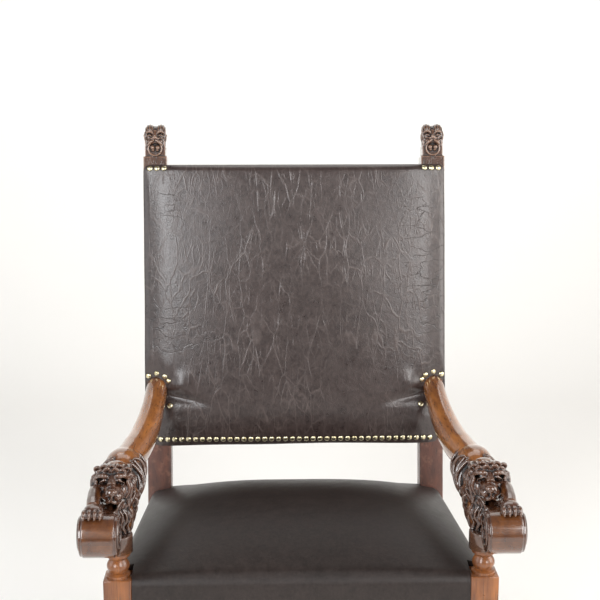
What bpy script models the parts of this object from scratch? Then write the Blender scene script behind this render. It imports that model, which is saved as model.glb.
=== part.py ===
"""A high-backed armchair of carved walnut and dark leather, with a lion on each arm.

Metres, +Z up. The chair faces -Y and its origin is on the floor, under the middle of
its box. +X is the right-hand side as seen from the front. The two sides are alike, so
what stands on the right is built once and mirrored.
"""

import math

import bmesh
import bpy
from mathutils import Matrix, Vector

# The leather back, which leans away from the sitter
BACK_WIDTH = 0.580
BACK_HEIGHT = 0.527
BACK_BOTTOM_Z = 0.537
BACK_FRONT_Y = 0.160
BACK_LEAN = math.radians(10.5)
BACK_PADDING = 0.012
BACK_CROWN = 0.020
BACK_ROUNDING = 0.013

# The leather's build-up where it wraps the sides, the rear and the rails
LEATHER = 0.004

# The rear posts: leg, stile and finial in one stick
STILE_WIDTH = 0.045
STILE_DEPTH = 0.046
REAR_FOOT_SIDE = 0.038
REAR_FOOT_Y = 0.250
KNEE_Z = 0.380
REAR_LEG_STEPS = 5
REAR_LEG_SWEEP = 1.6
POST_CHAMFER = 0.003
FINIAL_HEIGHT = 0.076
FINIAL_WIDTH = 0.040
FINIAL_OUTSET = 0.0020
FINIAL_TENON = 0.012

# The seat frame and the posts that carry it
SEAT_RAIL_TOP = 0.430
SEAT_RAIL_HEIGHT = 0.075
SEAT_RAIL_THICK = 0.024
SEAT_DEPTH = 0.395
FRONT_POST_OUTSET = 0.010
FRONT_POST_SIDE = 0.046
FRONT_RAIL_SETBACK = 0.006
SIDE_RAIL_SETBACK = 0.018
REAR_RAIL_SETBACK = 0.013
BLOCK_MARGIN = 0.012
BLOCK_CHAMFER = 0.002
ARM_SUPPORT_HEIGHT = 0.055

# The turned legs
FOOT_HEIGHT = 0.046
FOOT_RADIUS = 0.027
LEG_RADIUS = 0.0195
LEG_NECK_RADIUS = 0.0135
SUPPORT_RADIUS = 0.0198
STRETCHER_Z = 0.155
STRETCHER_BLOCK_HEIGHT = 0.060
TURNED_STEPS = 12

# The stretchers between the legs
STRETCHER_RADIUS = 0.0155
STRETCHER_NECK_RADIUS = 0.0095
STRETCHER_END = 0.012
STRETCHER_BLOCK = 0.034
STRETCHER_BLOCK_LENGTH = 0.056

# The rails inside the back
BACK_RAIL_HEIGHT = 0.050
BACK_RAIL_THICK = 0.026

# The seat
SEAT_CROWN = 0.068
SEAT_EDGE_RISE = 0.015
SEAT_SKIRT_BOTTOM = 0.366
SEAT_ROUNDING = 0.016
SEAT_SWELL = 1.84
SEAT_FLATNESS = 3.5

# The arms
ARM_JOINT_Z = 0.644
ARM_REAR_RADIUS = 0.0205
ARM_FRONT_RADIUS = 0.0245
ARM_FLARE = 1.8
ARM_JOINT_INSET = 0.010
ARM_JOINT_OFFSET = 0.003
LION_SIZE = 0.100
LION_FACE_X = 0.065

# The carvings are drawn in tenths of a metre, the finial's for this height and down to its neck
FINIAL_DRAWN_HEIGHT = 0.076
FINIAL_NECK = 0.30

# How fine the carved solids are
ARM_VOXEL = 0.0022
ARM_FACES = 1880
FINIAL_VOXEL = 0.0014
FINIAL_FACES = 560

# Edges sharper than these angles, in degrees, are shaded as edges
PLAIN_SHARP = 40.0
TURNED_SHARP = 32.0
CARVED_SHARP = 60.0
LEATHER_SHARP = 50.0

# Clearances between touching pieces
GAP = 0.0003
ARM_HOLE_GAP = 0.0015
MERGE = 0.00001

# Places that follow from the sizes above
FRONT_POST_X = BACK_WIDTH / 2 + FRONT_POST_OUTSET
FRONT_POST_Y = BACK_FRONT_Y - SEAT_DEPTH
ARM_SUPPORT_TOP = SEAT_RAIL_TOP + ARM_SUPPORT_HEIGHT
STILE_OUTER_X = BACK_WIDTH / 2 - LEATHER
STILE_X = STILE_OUTER_X - STILE_WIDTH / 2
STILE_INNER_X = STILE_OUTER_X - STILE_WIDTH
BACK_TOP_Z = BACK_BOTTOM_Z + BACK_HEIGHT
BACK_LENGTH = BACK_HEIGHT / math.cos(BACK_LEAN)
BACK_THICK = BACK_PADDING + STILE_DEPTH + LEATHER
SEAT_RAIL_BOTTOM = SEAT_RAIL_TOP - SEAT_RAIL_HEIGHT
SEAT_RAIL_Z = (SEAT_RAIL_TOP + SEAT_RAIL_BOTTOM) / 2
POST_HALF = FRONT_POST_SIDE / 2

WALNUT = ("polished_walnut", (0.150, 0.062, 0.026), 0.34)
CARVED_WALNUT = ("carved_walnut", (0.085, 0.038, 0.020), 0.38)
DULL_WALNUT = ("dull_walnut", (0.090, 0.036, 0.022), 0.55)
BROWN_LEATHER = ("brown_leather", (0.040, 0.027, 0.026), 0.42)


def clear_scene():
    for obj in list(bpy.data.objects):
        bpy.data.objects.remove(obj, do_unlink=True)


def new_collection(name):
    collection = bpy.data.collections.new(name)
    bpy.context.scene.collection.children.link(collection)
    return collection


def material(finish):
    name, colour, roughness = finish
    found = bpy.data.materials.get(name)
    if found:
        return found
    made = bpy.data.materials.new(name)
    made.use_nodes = True
    shader = made.node_tree.nodes["Principled BSDF"]
    shader.inputs["Base Color"].default_value = (*colour, 1.0)
    shader.inputs["Roughness"].default_value = roughness
    shader.inputs["Metallic"].default_value = 0.0
    return made


def new_object(name, mesh, collection):
    obj = bpy.data.objects.new(name, mesh)
    collection.objects.link(obj)
    return obj


def object_from(name, bm, collection):
    bmesh.ops.recalc_face_normals(bm, faces=bm.faces)
    mesh = bpy.data.meshes.new(name)
    bm.to_mesh(mesh)
    bm.free()
    return new_object(name, mesh, collection)


def settle(obj):
    """Turn an object's modifiers into plain mesh."""
    bpy.context.view_layer.update()
    graph = bpy.context.evaluated_depsgraph_get()
    mesh = bpy.data.meshes.new_from_object(obj.evaluated_get(graph))
    obj.modifiers.clear()
    obj.data = mesh
    return obj


def combine(obj, other, operation):
    """Cut with another object, or join it on, and remove that object."""
    boolean = obj.modifiers.new(operation.lower(), "BOOLEAN")
    boolean.operation = operation
    boolean.solver = "EXACT"
    boolean.object = other
    settle(obj)
    bpy.data.objects.remove(other, do_unlink=True)
    return obj


def finish(obj, look, sharp_angle=PLAIN_SHARP):
    obj.data.materials.clear()
    obj.data.materials.append(material(look))
    obj.data.shade_smooth()
    obj.data.set_sharp_from_angle(angle=math.radians(sharp_angle))
    return obj


def mirrored(obj, name, sharp_angle, collection):
    """The left-hand twin of a right-hand piece."""
    bm = bmesh.new()
    bm.from_mesh(obj.data)
    bmesh.ops.transform(bm, matrix=Matrix.Scale(-1.0, 4, (1, 0, 0)), verts=bm.verts)
    twin = object_from(name, bm, collection)
    twin.data.materials.append(obj.data.materials[0])
    twin.data.shade_smooth()
    twin.data.set_sharp_from_angle(angle=math.radians(sharp_angle))
    return twin


def box(name, low, high, collection):
    low = Vector(low)
    high = Vector(high)
    bm = bmesh.new()
    bmesh.ops.create_cube(bm, size=1.0)
    bmesh.ops.scale(bm, vec=high - low, verts=bm.verts)
    bmesh.ops.translate(bm, vec=(high + low) / 2, verts=bm.verts)
    return object_from(name, bm, collection)


def chamfered_box(name, low, high, chamfer, collection):
    obj = box(name, low, high, collection)
    bevel = obj.modifiers.new("chamfer", "BEVEL")
    bevel.width = chamfer
    bevel.segments = 1
    return settle(obj)


def stick(name, sections, collection):
    """A square stick lofted through level sections, each (x, y, z, width, depth)."""
    bm = bmesh.new()
    corners = ((-1, -1), (1, -1), (1, 1), (-1, 1))
    rings = []
    for x, y, z, width, depth in sections:
        rings.append([bm.verts.new((x + i * width / 2, y + j * depth / 2, z)) for i, j in corners])
    for low, high in zip(rings, rings[1:]):
        for i in range(4):
            j = (i + 1) % 4
            bm.faces.new((low[i], low[j], high[j], high[i]))
    bm.faces.new(list(reversed(rings[0])))
    bm.faces.new(rings[-1])
    return object_from(name, bm, collection)


def turned(name, profile, collection):
    """A round shape from (radius, height) pairs, listed from the top down."""
    mesh = bpy.data.meshes.new(name)
    points = [(0.0, 0.0, profile[0][1])]
    points += [(radius, 0.0, height) for radius, height in profile]
    points += [(0.0, 0.0, profile[-1][1])]
    edges = [(i, i + 1) for i in range(len(points) - 1)]
    mesh.from_pydata(points, edges, [])
    obj = new_object(name, mesh, collection)
    screw = obj.modifiers.new("turn", "SCREW")
    screw.steps = TURNED_STEPS
    screw.render_steps = TURNED_STEPS
    screw.use_merge_vertices = True
    screw.merge_threshold = MERGE
    screw.use_normal_calculate = True
    settle(obj)
    bm = bmesh.new()
    bm.from_mesh(obj.data)
    bmesh.ops.remove_doubles(bm, verts=bm.verts, dist=MERGE)
    bpy.data.objects.remove(obj, do_unlink=True)
    return object_from(name, bm, collection)


def swell(low_radius, high_radius, bottom, top, steps):
    """A bulging stretch of a turned profile, from the top down."""
    pairs = []
    for i in range(steps + 1):
        share = i / steps
        radius = low_radius + (high_radius - low_radius) * math.sin(math.pi * share)
        pairs.append((radius, top + (bottom - top) * share))
    return pairs


def lean_matrix():
    """From the back's own frame (across, into the back, up along it) to the chair's."""
    place = Matrix.Translation((0, BACK_FRONT_Y, BACK_BOTTOM_Z))
    return place @ Matrix.Rotation(-BACK_LEAN, 4, "X")


def stile_front_y(z):
    """The front face of the stiles at a height."""
    leather_y = BACK_FRONT_Y + (z - BACK_BOTTOM_Z) * math.tan(BACK_LEAN)
    return leather_y + BACK_PADDING / math.cos(BACK_LEAN)


def rear_leg_centre(z):
    """The middle of the rear post at a height below the knee."""
    knee_y = stile_front_y(KNEE_Z) + STILE_DEPTH / math.cos(BACK_LEAN) / 2
    share = max(0.0, (KNEE_Z - z) / KNEE_Z)
    return knee_y + (REAR_FOOT_Y - knee_y) * share ** REAR_LEG_SWEEP


def rear_post_stick(name, grow, collection):
    """The right rear post's square stick, which grows for use as a cutter."""
    depth = STILE_DEPTH / math.cos(BACK_LEAN)
    sections = []
    for i in range(REAR_LEG_STEPS + 1):
        share = i / REAR_LEG_STEPS
        z = KNEE_Z * share
        taper = REAR_FOOT_SIDE + (STILE_WIDTH - REAR_FOOT_SIDE) * share
        thick = REAR_FOOT_SIDE + (depth - REAR_FOOT_SIDE) * share
        sections.append((STILE_X, rear_leg_centre(z), z, taper + 2 * grow, thick + 2 * grow))
    for z in (BACK_BOTTOM_Z, BACK_TOP_Z + POST_CHAMFER):
        centre_y = stile_front_y(z) + depth / 2
        sections.append((STILE_X, centre_y, z, STILE_WIDTH + 2 * grow, depth + 2 * grow))
    return stick(name, sections, collection)


def oriented(axis_start, axis_end):
    """A frame at the start of an axis, with its Z along the axis and its Y near up."""
    along = (Vector(axis_end) - Vector(axis_start)).normalized()
    up = Vector((0, 0, 1))
    side = up.cross(along).normalized()
    up = along.cross(side)
    turn = Matrix((side, up, along)).transposed().to_4x4()
    return Matrix.Translation(axis_start) @ turn


def put(obj, matrix):
    obj.data.transform(matrix)
    obj.data.update()
    return obj


def side_line(height, rear_y):
    """Where a side member runs, from the front post's middle to the rear post's."""
    return Vector((FRONT_POST_X, FRONT_POST_Y, height)), Vector((STILE_X, rear_y, height))


def front_block(name, grow, low_z, high_z, collection):
    half = POST_HALF + grow
    low = (FRONT_POST_X - half, FRONT_POST_Y - half, low_z - grow)
    high = (FRONT_POST_X + half, FRONT_POST_Y + half, high_z + grow)
    return box(name, low, high, collection)


def block_heights():
    """The two square blocks of a front post: (bottom, top) of each."""
    lower = (STRETCHER_Z - STRETCHER_BLOCK_HEIGHT / 2, STRETCHER_Z + STRETCHER_BLOCK_HEIGHT / 2)
    upper = (SEAT_RAIL_BOTTOM - BLOCK_MARGIN, SEAT_RAIL_TOP + BLOCK_MARGIN)
    return lower, upper


def front_post(collection):
    """The right front post: bun foot, turned leg, two blocks and the arm's support."""
    lower, upper = block_heights()
    profile = [(SUPPORT_RADIUS, ARM_SUPPORT_TOP)]
    support = upper[1]
    rise = ARM_SUPPORT_TOP - support
    profile += [(SUPPORT_RADIUS, ARM_SUPPORT_TOP - rise * 0.16)]
    profile += [(LEG_NECK_RADIUS, ARM_SUPPORT_TOP - rise * 0.30)]
    profile += swell(LEG_NECK_RADIUS, SUPPORT_RADIUS * 0.92, support + rise * 0.16,
                     ARM_SUPPORT_TOP - rise * 0.36, 3)
    profile += [(SUPPORT_RADIUS, support + rise * 0.10)]
    profile += [(SUPPORT_RADIUS, support - BLOCK_CHAMFER)]
    leg_top = upper[0]
    leg_bottom = lower[1]
    length = leg_top - leg_bottom
    profile += [(LEG_RADIUS, leg_top + BLOCK_CHAMFER), (LEG_RADIUS, leg_top - length * 0.06)]
    profile += [(LEG_NECK_RADIUS, leg_top - length * 0.10)]
    profile += swell(LEG_NECK_RADIUS, LEG_RADIUS, leg_bottom + length * 0.22,
                     leg_top - length * 0.14, 5)
    profile += [(LEG_RADIUS * 0.90, leg_bottom + length * 0.16)]
    profile += [(LEG_NECK_RADIUS, leg_bottom + length * 0.10)]
    profile += [(LEG_RADIUS, leg_bottom + length * 0.05), (LEG_RADIUS, leg_bottom - BLOCK_CHAMFER)]
    neck = lower[0]
    drop = neck - FOOT_HEIGHT
    profile += [(LEG_RADIUS, neck + BLOCK_CHAMFER), (LEG_RADIUS, neck - drop * 0.14)]
    profile += [(LEG_NECK_RADIUS, neck - drop * 0.30)]
    profile += [(LEG_RADIUS * 0.95, neck - drop * 0.62), (LEG_NECK_RADIUS, FOOT_HEIGHT + drop * 0.06)]
    profile += [(FOOT_RADIUS * 0.72, FOOT_HEIGHT)]
    profile += [(FOOT_RADIUS, FOOT_HEIGHT * 0.66), (FOOT_RADIUS, FOOT_HEIGHT * 0.36)]
    profile += [(FOOT_RADIUS * 0.76, 0.0)]
    post = turned("right_front_post", profile, collection)
    put(post, Matrix.Translation((FRONT_POST_X, FRONT_POST_Y, 0)))
    for bottom, top in (lower, upper):
        low = (FRONT_POST_X - POST_HALF, FRONT_POST_Y - POST_HALF, bottom)
        high = (FRONT_POST_X + POST_HALF, FRONT_POST_Y + POST_HALF, top)
        block = chamfered_box("block", low, high, BLOCK_CHAMFER, collection)
        combine(post, block, "UNION")
    return finish(post, WALNUT, TURNED_SHARP)


def seat_outline(y, outset):
    """Half the seat frame's outer width at a depth, out to the rails' faces and more."""
    front = FRONT_POST_X + POST_HALF - SIDE_RAIL_SETBACK
    rear = STILE_OUTER_X - REAR_RAIL_SETBACK
    rear_y = rear_leg_centre(SEAT_RAIL_Z)
    share = (y - FRONT_POST_Y) / (rear_y - FRONT_POST_Y)
    return front + (rear - front) * share + outset


def side_rail(collection):
    """The right seat rail, cut where it meets the two posts."""
    rear_y = rear_leg_centre(SEAT_RAIL_Z)
    half = SEAT_RAIL_THICK / 2
    start = Vector((seat_outline(FRONT_POST_Y, -half), FRONT_POST_Y, SEAT_RAIL_Z))
    end = Vector((seat_outline(rear_y, -half), rear_y, SEAT_RAIL_Z))
    length = (end - start).length
    rail = box("right_seat_rail", (-half, -SEAT_RAIL_HEIGHT / 2, 0),
               (half, SEAT_RAIL_HEIGHT / 2, length), collection)
    put(rail, oriented(start, end))
    lower, upper = block_heights()
    combine(rail, front_block("cut", GAP, upper[0], upper[1], collection), "DIFFERENCE")
    combine(rail, rear_post_stick("cut", GAP, collection), "DIFFERENCE")
    return finish(rail, DULL_WALNUT)


def back_rail_heights():
    """The back's two rails, as (name, bottom, top) along the back."""
    top = BACK_LENGTH - LEATHER
    return (
        ("back_bottom_rail", LEATHER, LEATHER + BACK_RAIL_HEIGHT),
        ("back_top_rail", top - BACK_RAIL_HEIGHT, top),
    )


def cross_rails(collection):
    """The front and rear seat rails and the back's two rails, between the posts."""
    front_reach = FRONT_POST_X - POST_HALF - GAP
    front_y = FRONT_POST_Y - POST_HALF + SEAT_RAIL_THICK / 2 + FRONT_RAIL_SETBACK
    rear_reach = STILE_INNER_X - GAP
    rear_y = rear_leg_centre(SEAT_RAIL_Z)
    half = SEAT_RAIL_THICK / 2
    front = box("front_seat_rail", (-front_reach, front_y - half, SEAT_RAIL_BOTTOM),
                (front_reach, front_y + half, SEAT_RAIL_TOP), collection)
    rear = box("back_seat_rail", (-rear_reach, rear_y - half, SEAT_RAIL_BOTTOM),
               (rear_reach, rear_y + half, SEAT_RAIL_TOP), collection)
    finish(front, DULL_WALNUT)
    finish(rear, DULL_WALNUT)
    middle = BACK_PADDING + STILE_DEPTH / 2
    inner = BACK_RAIL_THICK / 2
    for name, bottom, top in back_rail_heights():
        rail = box(name, (-rear_reach, middle - inner, bottom),
                   (rear_reach, middle + inner, top), collection)
        put(rail, lean_matrix())
        finish(rail, DULL_WALNUT)


def stretcher_profile(length):
    """A turned stretcher: two long swells that meet a block or a ring in the middle."""
    half = length / 2
    near = STRETCHER_BLOCK_LENGTH / 2
    top = swell(STRETCHER_NECK_RADIUS, STRETCHER_RADIUS, half + near, length - STRETCHER_END, 4)
    low = swell(STRETCHER_NECK_RADIUS, STRETCHER_RADIUS, STRETCHER_END, half - near, 4)
    ends = [(STRETCHER_RADIUS * 0.8, length)]
    middle = [(STRETCHER_RADIUS, half + near * 0.8), (STRETCHER_RADIUS, half - near * 0.8)]
    return ends + top + middle + low + [(STRETCHER_RADIUS * 0.8, 0.0)]


def side_stretcher(collection):
    """The right stretcher, turned, with a square block where the cross stretcher meets it."""
    start, end = side_line(STRETCHER_Z, rear_leg_centre(STRETCHER_Z))
    length = (end - start).length
    bar = turned("right_stretcher", stretcher_profile(length), collection)
    half = STRETCHER_BLOCK / 2
    near = STRETCHER_BLOCK_LENGTH / 2
    block = chamfered_box("block", (-half, -half, length / 2 - near),
                          (half, half, length / 2 + near), BLOCK_CHAMFER, collection)
    combine(bar, block, "UNION")
    put(bar, oriented(start, end))
    lower, upper = block_heights()
    combine(bar, front_block("cut", GAP, lower[0], lower[1], collection), "DIFFERENCE")
    combine(bar, rear_post_stick("cut", GAP, collection), "DIFFERENCE")
    return finish(bar, WALNUT, TURNED_SHARP)


def cross_stretcher(collection):
    """The stretcher from side to side, cut where it meets the two blocks."""
    start, end = side_line(STRETCHER_Z, rear_leg_centre(STRETCHER_Z))
    middle = (start + end) / 2
    left = Vector((-middle.x, middle.y, middle.z))
    length = 2 * middle.x
    bar = turned("cross_stretcher", stretcher_profile(length), collection)
    put(bar, oriented(left, middle))
    half = STRETCHER_BLOCK / 2 + GAP
    near = STRETCHER_BLOCK_LENGTH / 2
    for side in (1, -1):
        cut = box("cut", (-half, -half, -near), (half, half, near), collection)
        flip = Matrix.Scale(-1.0, 4, (1, 0, 0)) if side < 0 else Matrix.Identity(4)
        put(cut, flip @ oriented(middle, end))
        if side < 0:
            cut.data.flip_normals()
        combine(bar, cut, "DIFFERENCE")
    return finish(bar, WALNUT, TURNED_SHARP)


def rounded_slab(name, stations, radius, collection):
    """A box with rounded edges, with a line of vertices at each station of each axis."""
    bm = bmesh.new()
    bmesh.ops.create_cube(bm, size=2.0)
    cells = [len(row) - 1 for row in stations]
    for axis in range(3):
        along = [edge for edge in bm.edges
                 if abs(edge.verts[0].co[axis] - edge.verts[1].co[axis]) > 1.0]
        bmesh.ops.subdivide_edges(bm, edges=along, cuts=cells[axis] - 1, use_grid_fill=True)
    for v in bm.verts:
        for axis in range(3):
            step = round((v.co[axis] + 1.0) / 2.0 * cells[axis])
            v.co[axis] = stations[axis][step]
    low = Vector([row[0] + radius for row in stations])
    high = Vector([row[-1] - radius for row in stations])
    for v in bm.verts:
        core = Vector([min(max(v.co[i], low[i]), high[i]) for i in range(3)])
        out = v.co - core
        if out.length > MERGE:
            v.co = core + out.normalized() * radius
    return object_from(name, bm, collection)


def spaced(low, high, edge, count):
    """Stations from low to high, with one an edge's width in from each end."""
    inner = [low + edge + (high - low - 2 * edge) * i / count for i in range(count + 1)]
    return [low] + inner + [high]


def back_upholstery(collection):
    """The padded leather back, wrapped round the stiles and its two rails."""
    half = BACK_WIDTH / 2
    stations = (
        spaced(-half, half, BACK_ROUNDING, 7),
        spaced(0.0, BACK_THICK, BACK_ROUNDING, 1),
        spaced(0.0, BACK_LENGTH, BACK_ROUNDING, 7),
    )
    slab = rounded_slab("back_upholstery", stations, BACK_ROUNDING, collection)
    for v in slab.data.vertices:
        if v.co.y < BACK_ROUNDING / 2:
            across = 1.0 - (v.co.x / half) ** 2
            along = 1.0 - (2.0 * v.co.z / BACK_LENGTH - 1.0) ** 2
            v.co.y -= BACK_CROWN * across * along ** 0.5
    split_quads(slab)
    put(slab, lean_matrix())
    middle = BACK_PADDING + STILE_DEPTH / 2
    inner = BACK_RAIL_THICK / 2 + GAP
    for name, bottom, top in back_rail_heights():
        cut = box("cut", (-STILE_X, middle - inner, bottom - GAP),
                  (STILE_X, middle + inner, top + GAP), collection)
        put(cut, lean_matrix())
        combine(slab, cut, "DIFFERENCE")
    for side in (1, -1):
        cut = rear_post_stick("cut", GAP, collection)
        hole = arm_hole(collection)
        if side < 0:
            for obj in (cut, hole):
                put(obj, Matrix.Scale(-1.0, 4, (1, 0, 0)))
                obj.data.flip_normals()
        combine(slab, cut, "DIFFERENCE")
        combine(slab, hole, "DIFFERENCE")
    return finish(slab, BROWN_LEATHER, LEATHER_SHARP)


def arm_hole(collection):
    """The hole in the leather that the right arm's rear end passes through."""
    start = arm_route()[0][0]
    along = (arm_route()[1][0] - start).normalized()
    radius = ARM_REAR_RADIUS + ARM_HOLE_GAP
    reach = ARM_JOINT_INSET + BACK_PADDING + BACK_CROWN + BACK_ROUNDING
    bm = bmesh.new()
    bmesh.ops.create_cone(bm, cap_ends=True, segments=TURNED_STEPS + 4, radius1=radius,
                          radius2=radius, depth=reach,
                          matrix=Matrix.Translation((0, 0, reach / 2)))
    hole = object_from("hole", bm, collection)
    return put(hole, oriented(start, start + along))


def seat_upholstery(collection):
    """The domed leather seat, drawn down over the rails and notched round the posts."""
    front = FRONT_POST_Y - POST_HALF + FRONT_RAIL_SETBACK - LEATHER
    rear = rear_leg_centre(SEAT_RAIL_Z) + SEAT_RAIL_THICK / 2 + LEATHER
    half = seat_outline(FRONT_POST_Y, LEATHER)
    edge_z = SEAT_RAIL_TOP + SEAT_EDGE_RISE
    below = SEAT_SKIRT_BOTTOM - 2 * SEAT_ROUNDING
    stations = (
        spaced(-half, half, SEAT_ROUNDING, 9),
        spaced(front, rear, SEAT_ROUNDING, 9),
        [below, below + SEAT_ROUNDING, edge_z - SEAT_ROUNDING, edge_z],
    )
    seat = rounded_slab("seat_upholstery", stations, SEAT_ROUNDING, collection)
    middle_y = (front + rear) / 2
    half_depth = (rear - front) / 2
    for v in seat.data.vertices:
        across = min(1.0, abs(v.co.x) / half)
        along = min(1.0, abs(v.co.y - middle_y) / half_depth)
        if v.co.z > edge_z - SEAT_ROUNDING / 2:
            v.co.z += SEAT_CROWN * (1.0 - across ** SEAT_FLATNESS) * (1.0 - along ** SEAT_SWELL)
        v.co.x *= seat_outline(v.co.y, LEATHER) / half
    split_quads(seat)
    inner_front = front + LEATHER - GAP
    inner_rear = rear - LEATHER + GAP
    wide_front = 2 * seat_outline(inner_front, GAP)
    wide_rear = 2 * seat_outline(inner_rear, GAP)
    frame = box("frame", (-0.5, inner_front, below - SEAT_ROUNDING),
                (0.5, inner_rear, SEAT_RAIL_TOP + GAP), collection)
    for v in frame.data.vertices:
        v.co.x *= wide_front if v.co.y < middle_y else wide_rear
    combine(seat, frame, "DIFFERENCE")
    trim = box("trim", (-1.0, -1.0, 0.0), (1.0, 1.0, SEAT_SKIRT_BOTTOM), collection)
    combine(seat, trim, "DIFFERENCE")
    for side in (1, -1):
        corner = box("corner", (FRONT_POST_X - POST_HALF - GAP, -1.0, below - SEAT_ROUNDING),
                     (1.0, FRONT_POST_Y + POST_HALF + GAP, BACK_BOTTOM_Z), collection)
        cut = rear_post_stick("cut", GAP, collection)
        if side < 0:
            for obj in (corner, cut):
                put(obj, Matrix.Scale(-1.0, 4, (1, 0, 0)))
                obj.data.flip_normals()
        combine(seat, corner, "DIFFERENCE")
        combine(seat, cut, "DIFFERENCE")
    return finish(seat, BROWN_LEATHER, LEATHER_SHARP)


def add_ball(bm, centre, radii):
    """A round lump; carved forms are these lumps and locks, fused."""
    place = Matrix.Translation(centre) @ Matrix.Diagonal((*radii, 1.0))
    bmesh.ops.create_uvsphere(bm, u_segments=16, v_segments=10, radius=1.0, matrix=place)


def add_locks(bm, locks, size, collection):
    """Tapering locks of hair, leaf and limb: each a list of (point, radius)."""
    curve = bpy.data.curves.new("locks", "CURVE")
    curve.dimensions = "3D"
    curve.bevel_depth = size
    curve.bevel_resolution = 2
    curve.resolution_u = 5
    curve.render_resolution_u = 5
    curve.use_fill_caps = True
    for lock in locks:
        spline = curve.splines.new("BEZIER")
        spline.bezier_points.add(len(lock) - 1)
        for knot, (point, radius) in zip(spline.bezier_points, lock):
            knot.co = Vector(point) * size
            knot.radius = radius
            knot.handle_left_type = "AUTO"
            knot.handle_right_type = "AUTO"
    guide = new_object("locks", curve, collection)
    bpy.context.view_layer.update()
    graph = bpy.context.evaluated_depsgraph_get()
    bm.from_mesh(bpy.data.meshes.new_from_object(guide.evaluated_get(graph)))
    bpy.data.objects.remove(guide, do_unlink=True)
    bmesh.ops.remove_doubles(bm, verts=bm.verts, dist=MERGE)


def carved(name, bm, balls, locks, dents, size, place, voxel, smoothing, collection):
    """Fuse lumps and locks with what the mesh holds, smooth the skin and press the dents in."""
    for centre, radii in balls:
        add_ball(bm, Vector(centre) * size, Vector(radii) * size)
    add_locks(bm, locks, size, collection)
    obj = object_from(name, bm, collection)
    remesh = obj.modifiers.new("fuse", "REMESH")
    remesh.mode = "VOXEL"
    remesh.voxel_size = voxel
    smooth = obj.modifiers.new("smooth", "SMOOTH")
    smooth.factor = 0.5
    smooth.iterations = smoothing
    settle(obj)
    for centre, radii, push in dents:
        press(obj.data, Vector(centre) * size, Vector(radii) * size, Vector(push).normalized())
    return put(obj, place)


def press(mesh, centre, radii, push):
    """Move what lies in an ellipsoid along a direction, out to the ellipsoid's far side."""
    step = Vector([push[i] / radii[i] for i in range(3)])
    a = step.dot(step)
    for v in mesh.vertices:
        inside = Vector([(v.co[i] - centre[i]) / radii[i] for i in range(3)])
        c = inside.dot(inside) - 1.0
        if c < 0.0:
            b = inside.dot(step)
            v.co += push * ((-b + math.sqrt(b * b - a * c)) / a)


def coarsen(obj, faces):
    """Bring a dense skin down to a number of triangles."""
    count = sum(len(polygon.vertices) - 2 for polygon in obj.data.polygons)
    decimate = obj.modifiers.new("coarsen", "DECIMATE")
    decimate.ratio = min(1.0, faces / count)
    decimate.use_collapse_triangulate = True
    return settle(obj)


def split_quads(obj):
    """Make a bent surface's faces triangles, so that cuts find them flat."""
    bm = bmesh.new()
    bm.from_mesh(obj.data)
    bmesh.ops.triangulate(bm, faces=bm.faces)
    bm.to_mesh(obj.data)
    bm.free()
    return obj


def cut_flat(obj, point, normal):
    """Take off what lies past a plane and close the cut."""
    bm = bmesh.new()
    bm.from_mesh(obj.data)
    geometry = bm.verts[:] + bm.edges[:] + bm.faces[:]
    cut = bmesh.ops.bisect_plane(bm, geom=geometry, dist=MERGE, plane_co=point,
                                 plane_no=normal, clear_outer=True)
    rim = [item for item in cut["geom_cut"] if isinstance(item, bmesh.types.BMEdge)]
    bmesh.ops.holes_fill(bm, edges=rim, sides=0)
    bmesh.ops.triangulate(bm, faces=bm.faces)
    bm.to_mesh(obj.data)
    bm.free()
    return obj


def finial_balls():
    """The mask's lumps, as (centre, radii) in tenths of a metre for a 76 mm finial."""
    balls = [((0, 0.01, 0.42), (0.205, 0.205, 0.30)), ((0, -0.235, 0.535), (0.062, 0.075, 0.05))]
    for side in (1, -1):
        balls += [
            ((0.112 * side, -0.01, 0.675), (0.098, 0.125, 0.085)),
            ((0.112 * side, -0.190, 0.548), (0.055, 0.040, 0.034)),
            ((0.072 * side, -0.215, 0.452), (0.078, 0.062, 0.060)),
            ((0.052 * side, -0.190, 0.330), (0.046, 0.055, 0.072)),
            ((0.198 * side, -0.110, 0.560), (0.038, 0.050, 0.038)),
        ]
    return balls


def finial_locks():
    """The mask's brows, bridge, ring and side locks, in the same measure."""
    ring = []
    for i in range(13):
        turn = 2 * math.pi * i / 12
        ring.append(((0.138 * math.sin(turn), -0.228, 0.325 + 0.138 * math.cos(turn)), 0.020))
    locks = [ring, [((0, -0.17, 0.64), 0.05), ((0, -0.225, 0.56), 0.045)]]
    for side in (1, -1):
        brow = [((0.03, -0.20, 0.595), 0.026), ((0.11, -0.215, 0.635), 0.032),
                ((0.195, -0.15, 0.565), 0.020)]
        locks.append([((x * side, y, z), radius) for (x, y, z), radius in brow])
        for row in range(3):
            out = 0.205 - 0.012 * row
            depth = -0.165 + 0.12 * row
            lock = [((out, depth, 0.56), 0.030), ((out + 0.008, depth - 0.015, 0.42), 0.036),
                    ((out - 0.012, depth + 0.01, 0.30), 0.032), ((out, depth, 0.19), 0.018)]
            locks.append([((x * side, y, z), radius) for (x, y, z), radius in lock])
        tuft = [((0.06, -0.11, 0.60), 0.04), ((0.10, -0.14, 0.70), 0.045), ((0.17, -0.08, 0.68), 0.03)]
        locks.append([((x * side, y, z), radius) for (x, y, z), radius in tuft])
    return locks


def finial_dents():
    """Eye sockets and the open mouth: (centre, radii, push)."""
    inward = (0, 1, 0)
    return [
        ((0.105, -0.262, 0.535), (0.058, 0.050, 0.030), inward),
        ((-0.105, -0.262, 0.535), (0.058, 0.050, 0.030), inward),
        ((0, -0.245, 0.405), (0.050, 0.050, 0.022), inward),
    ]


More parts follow.
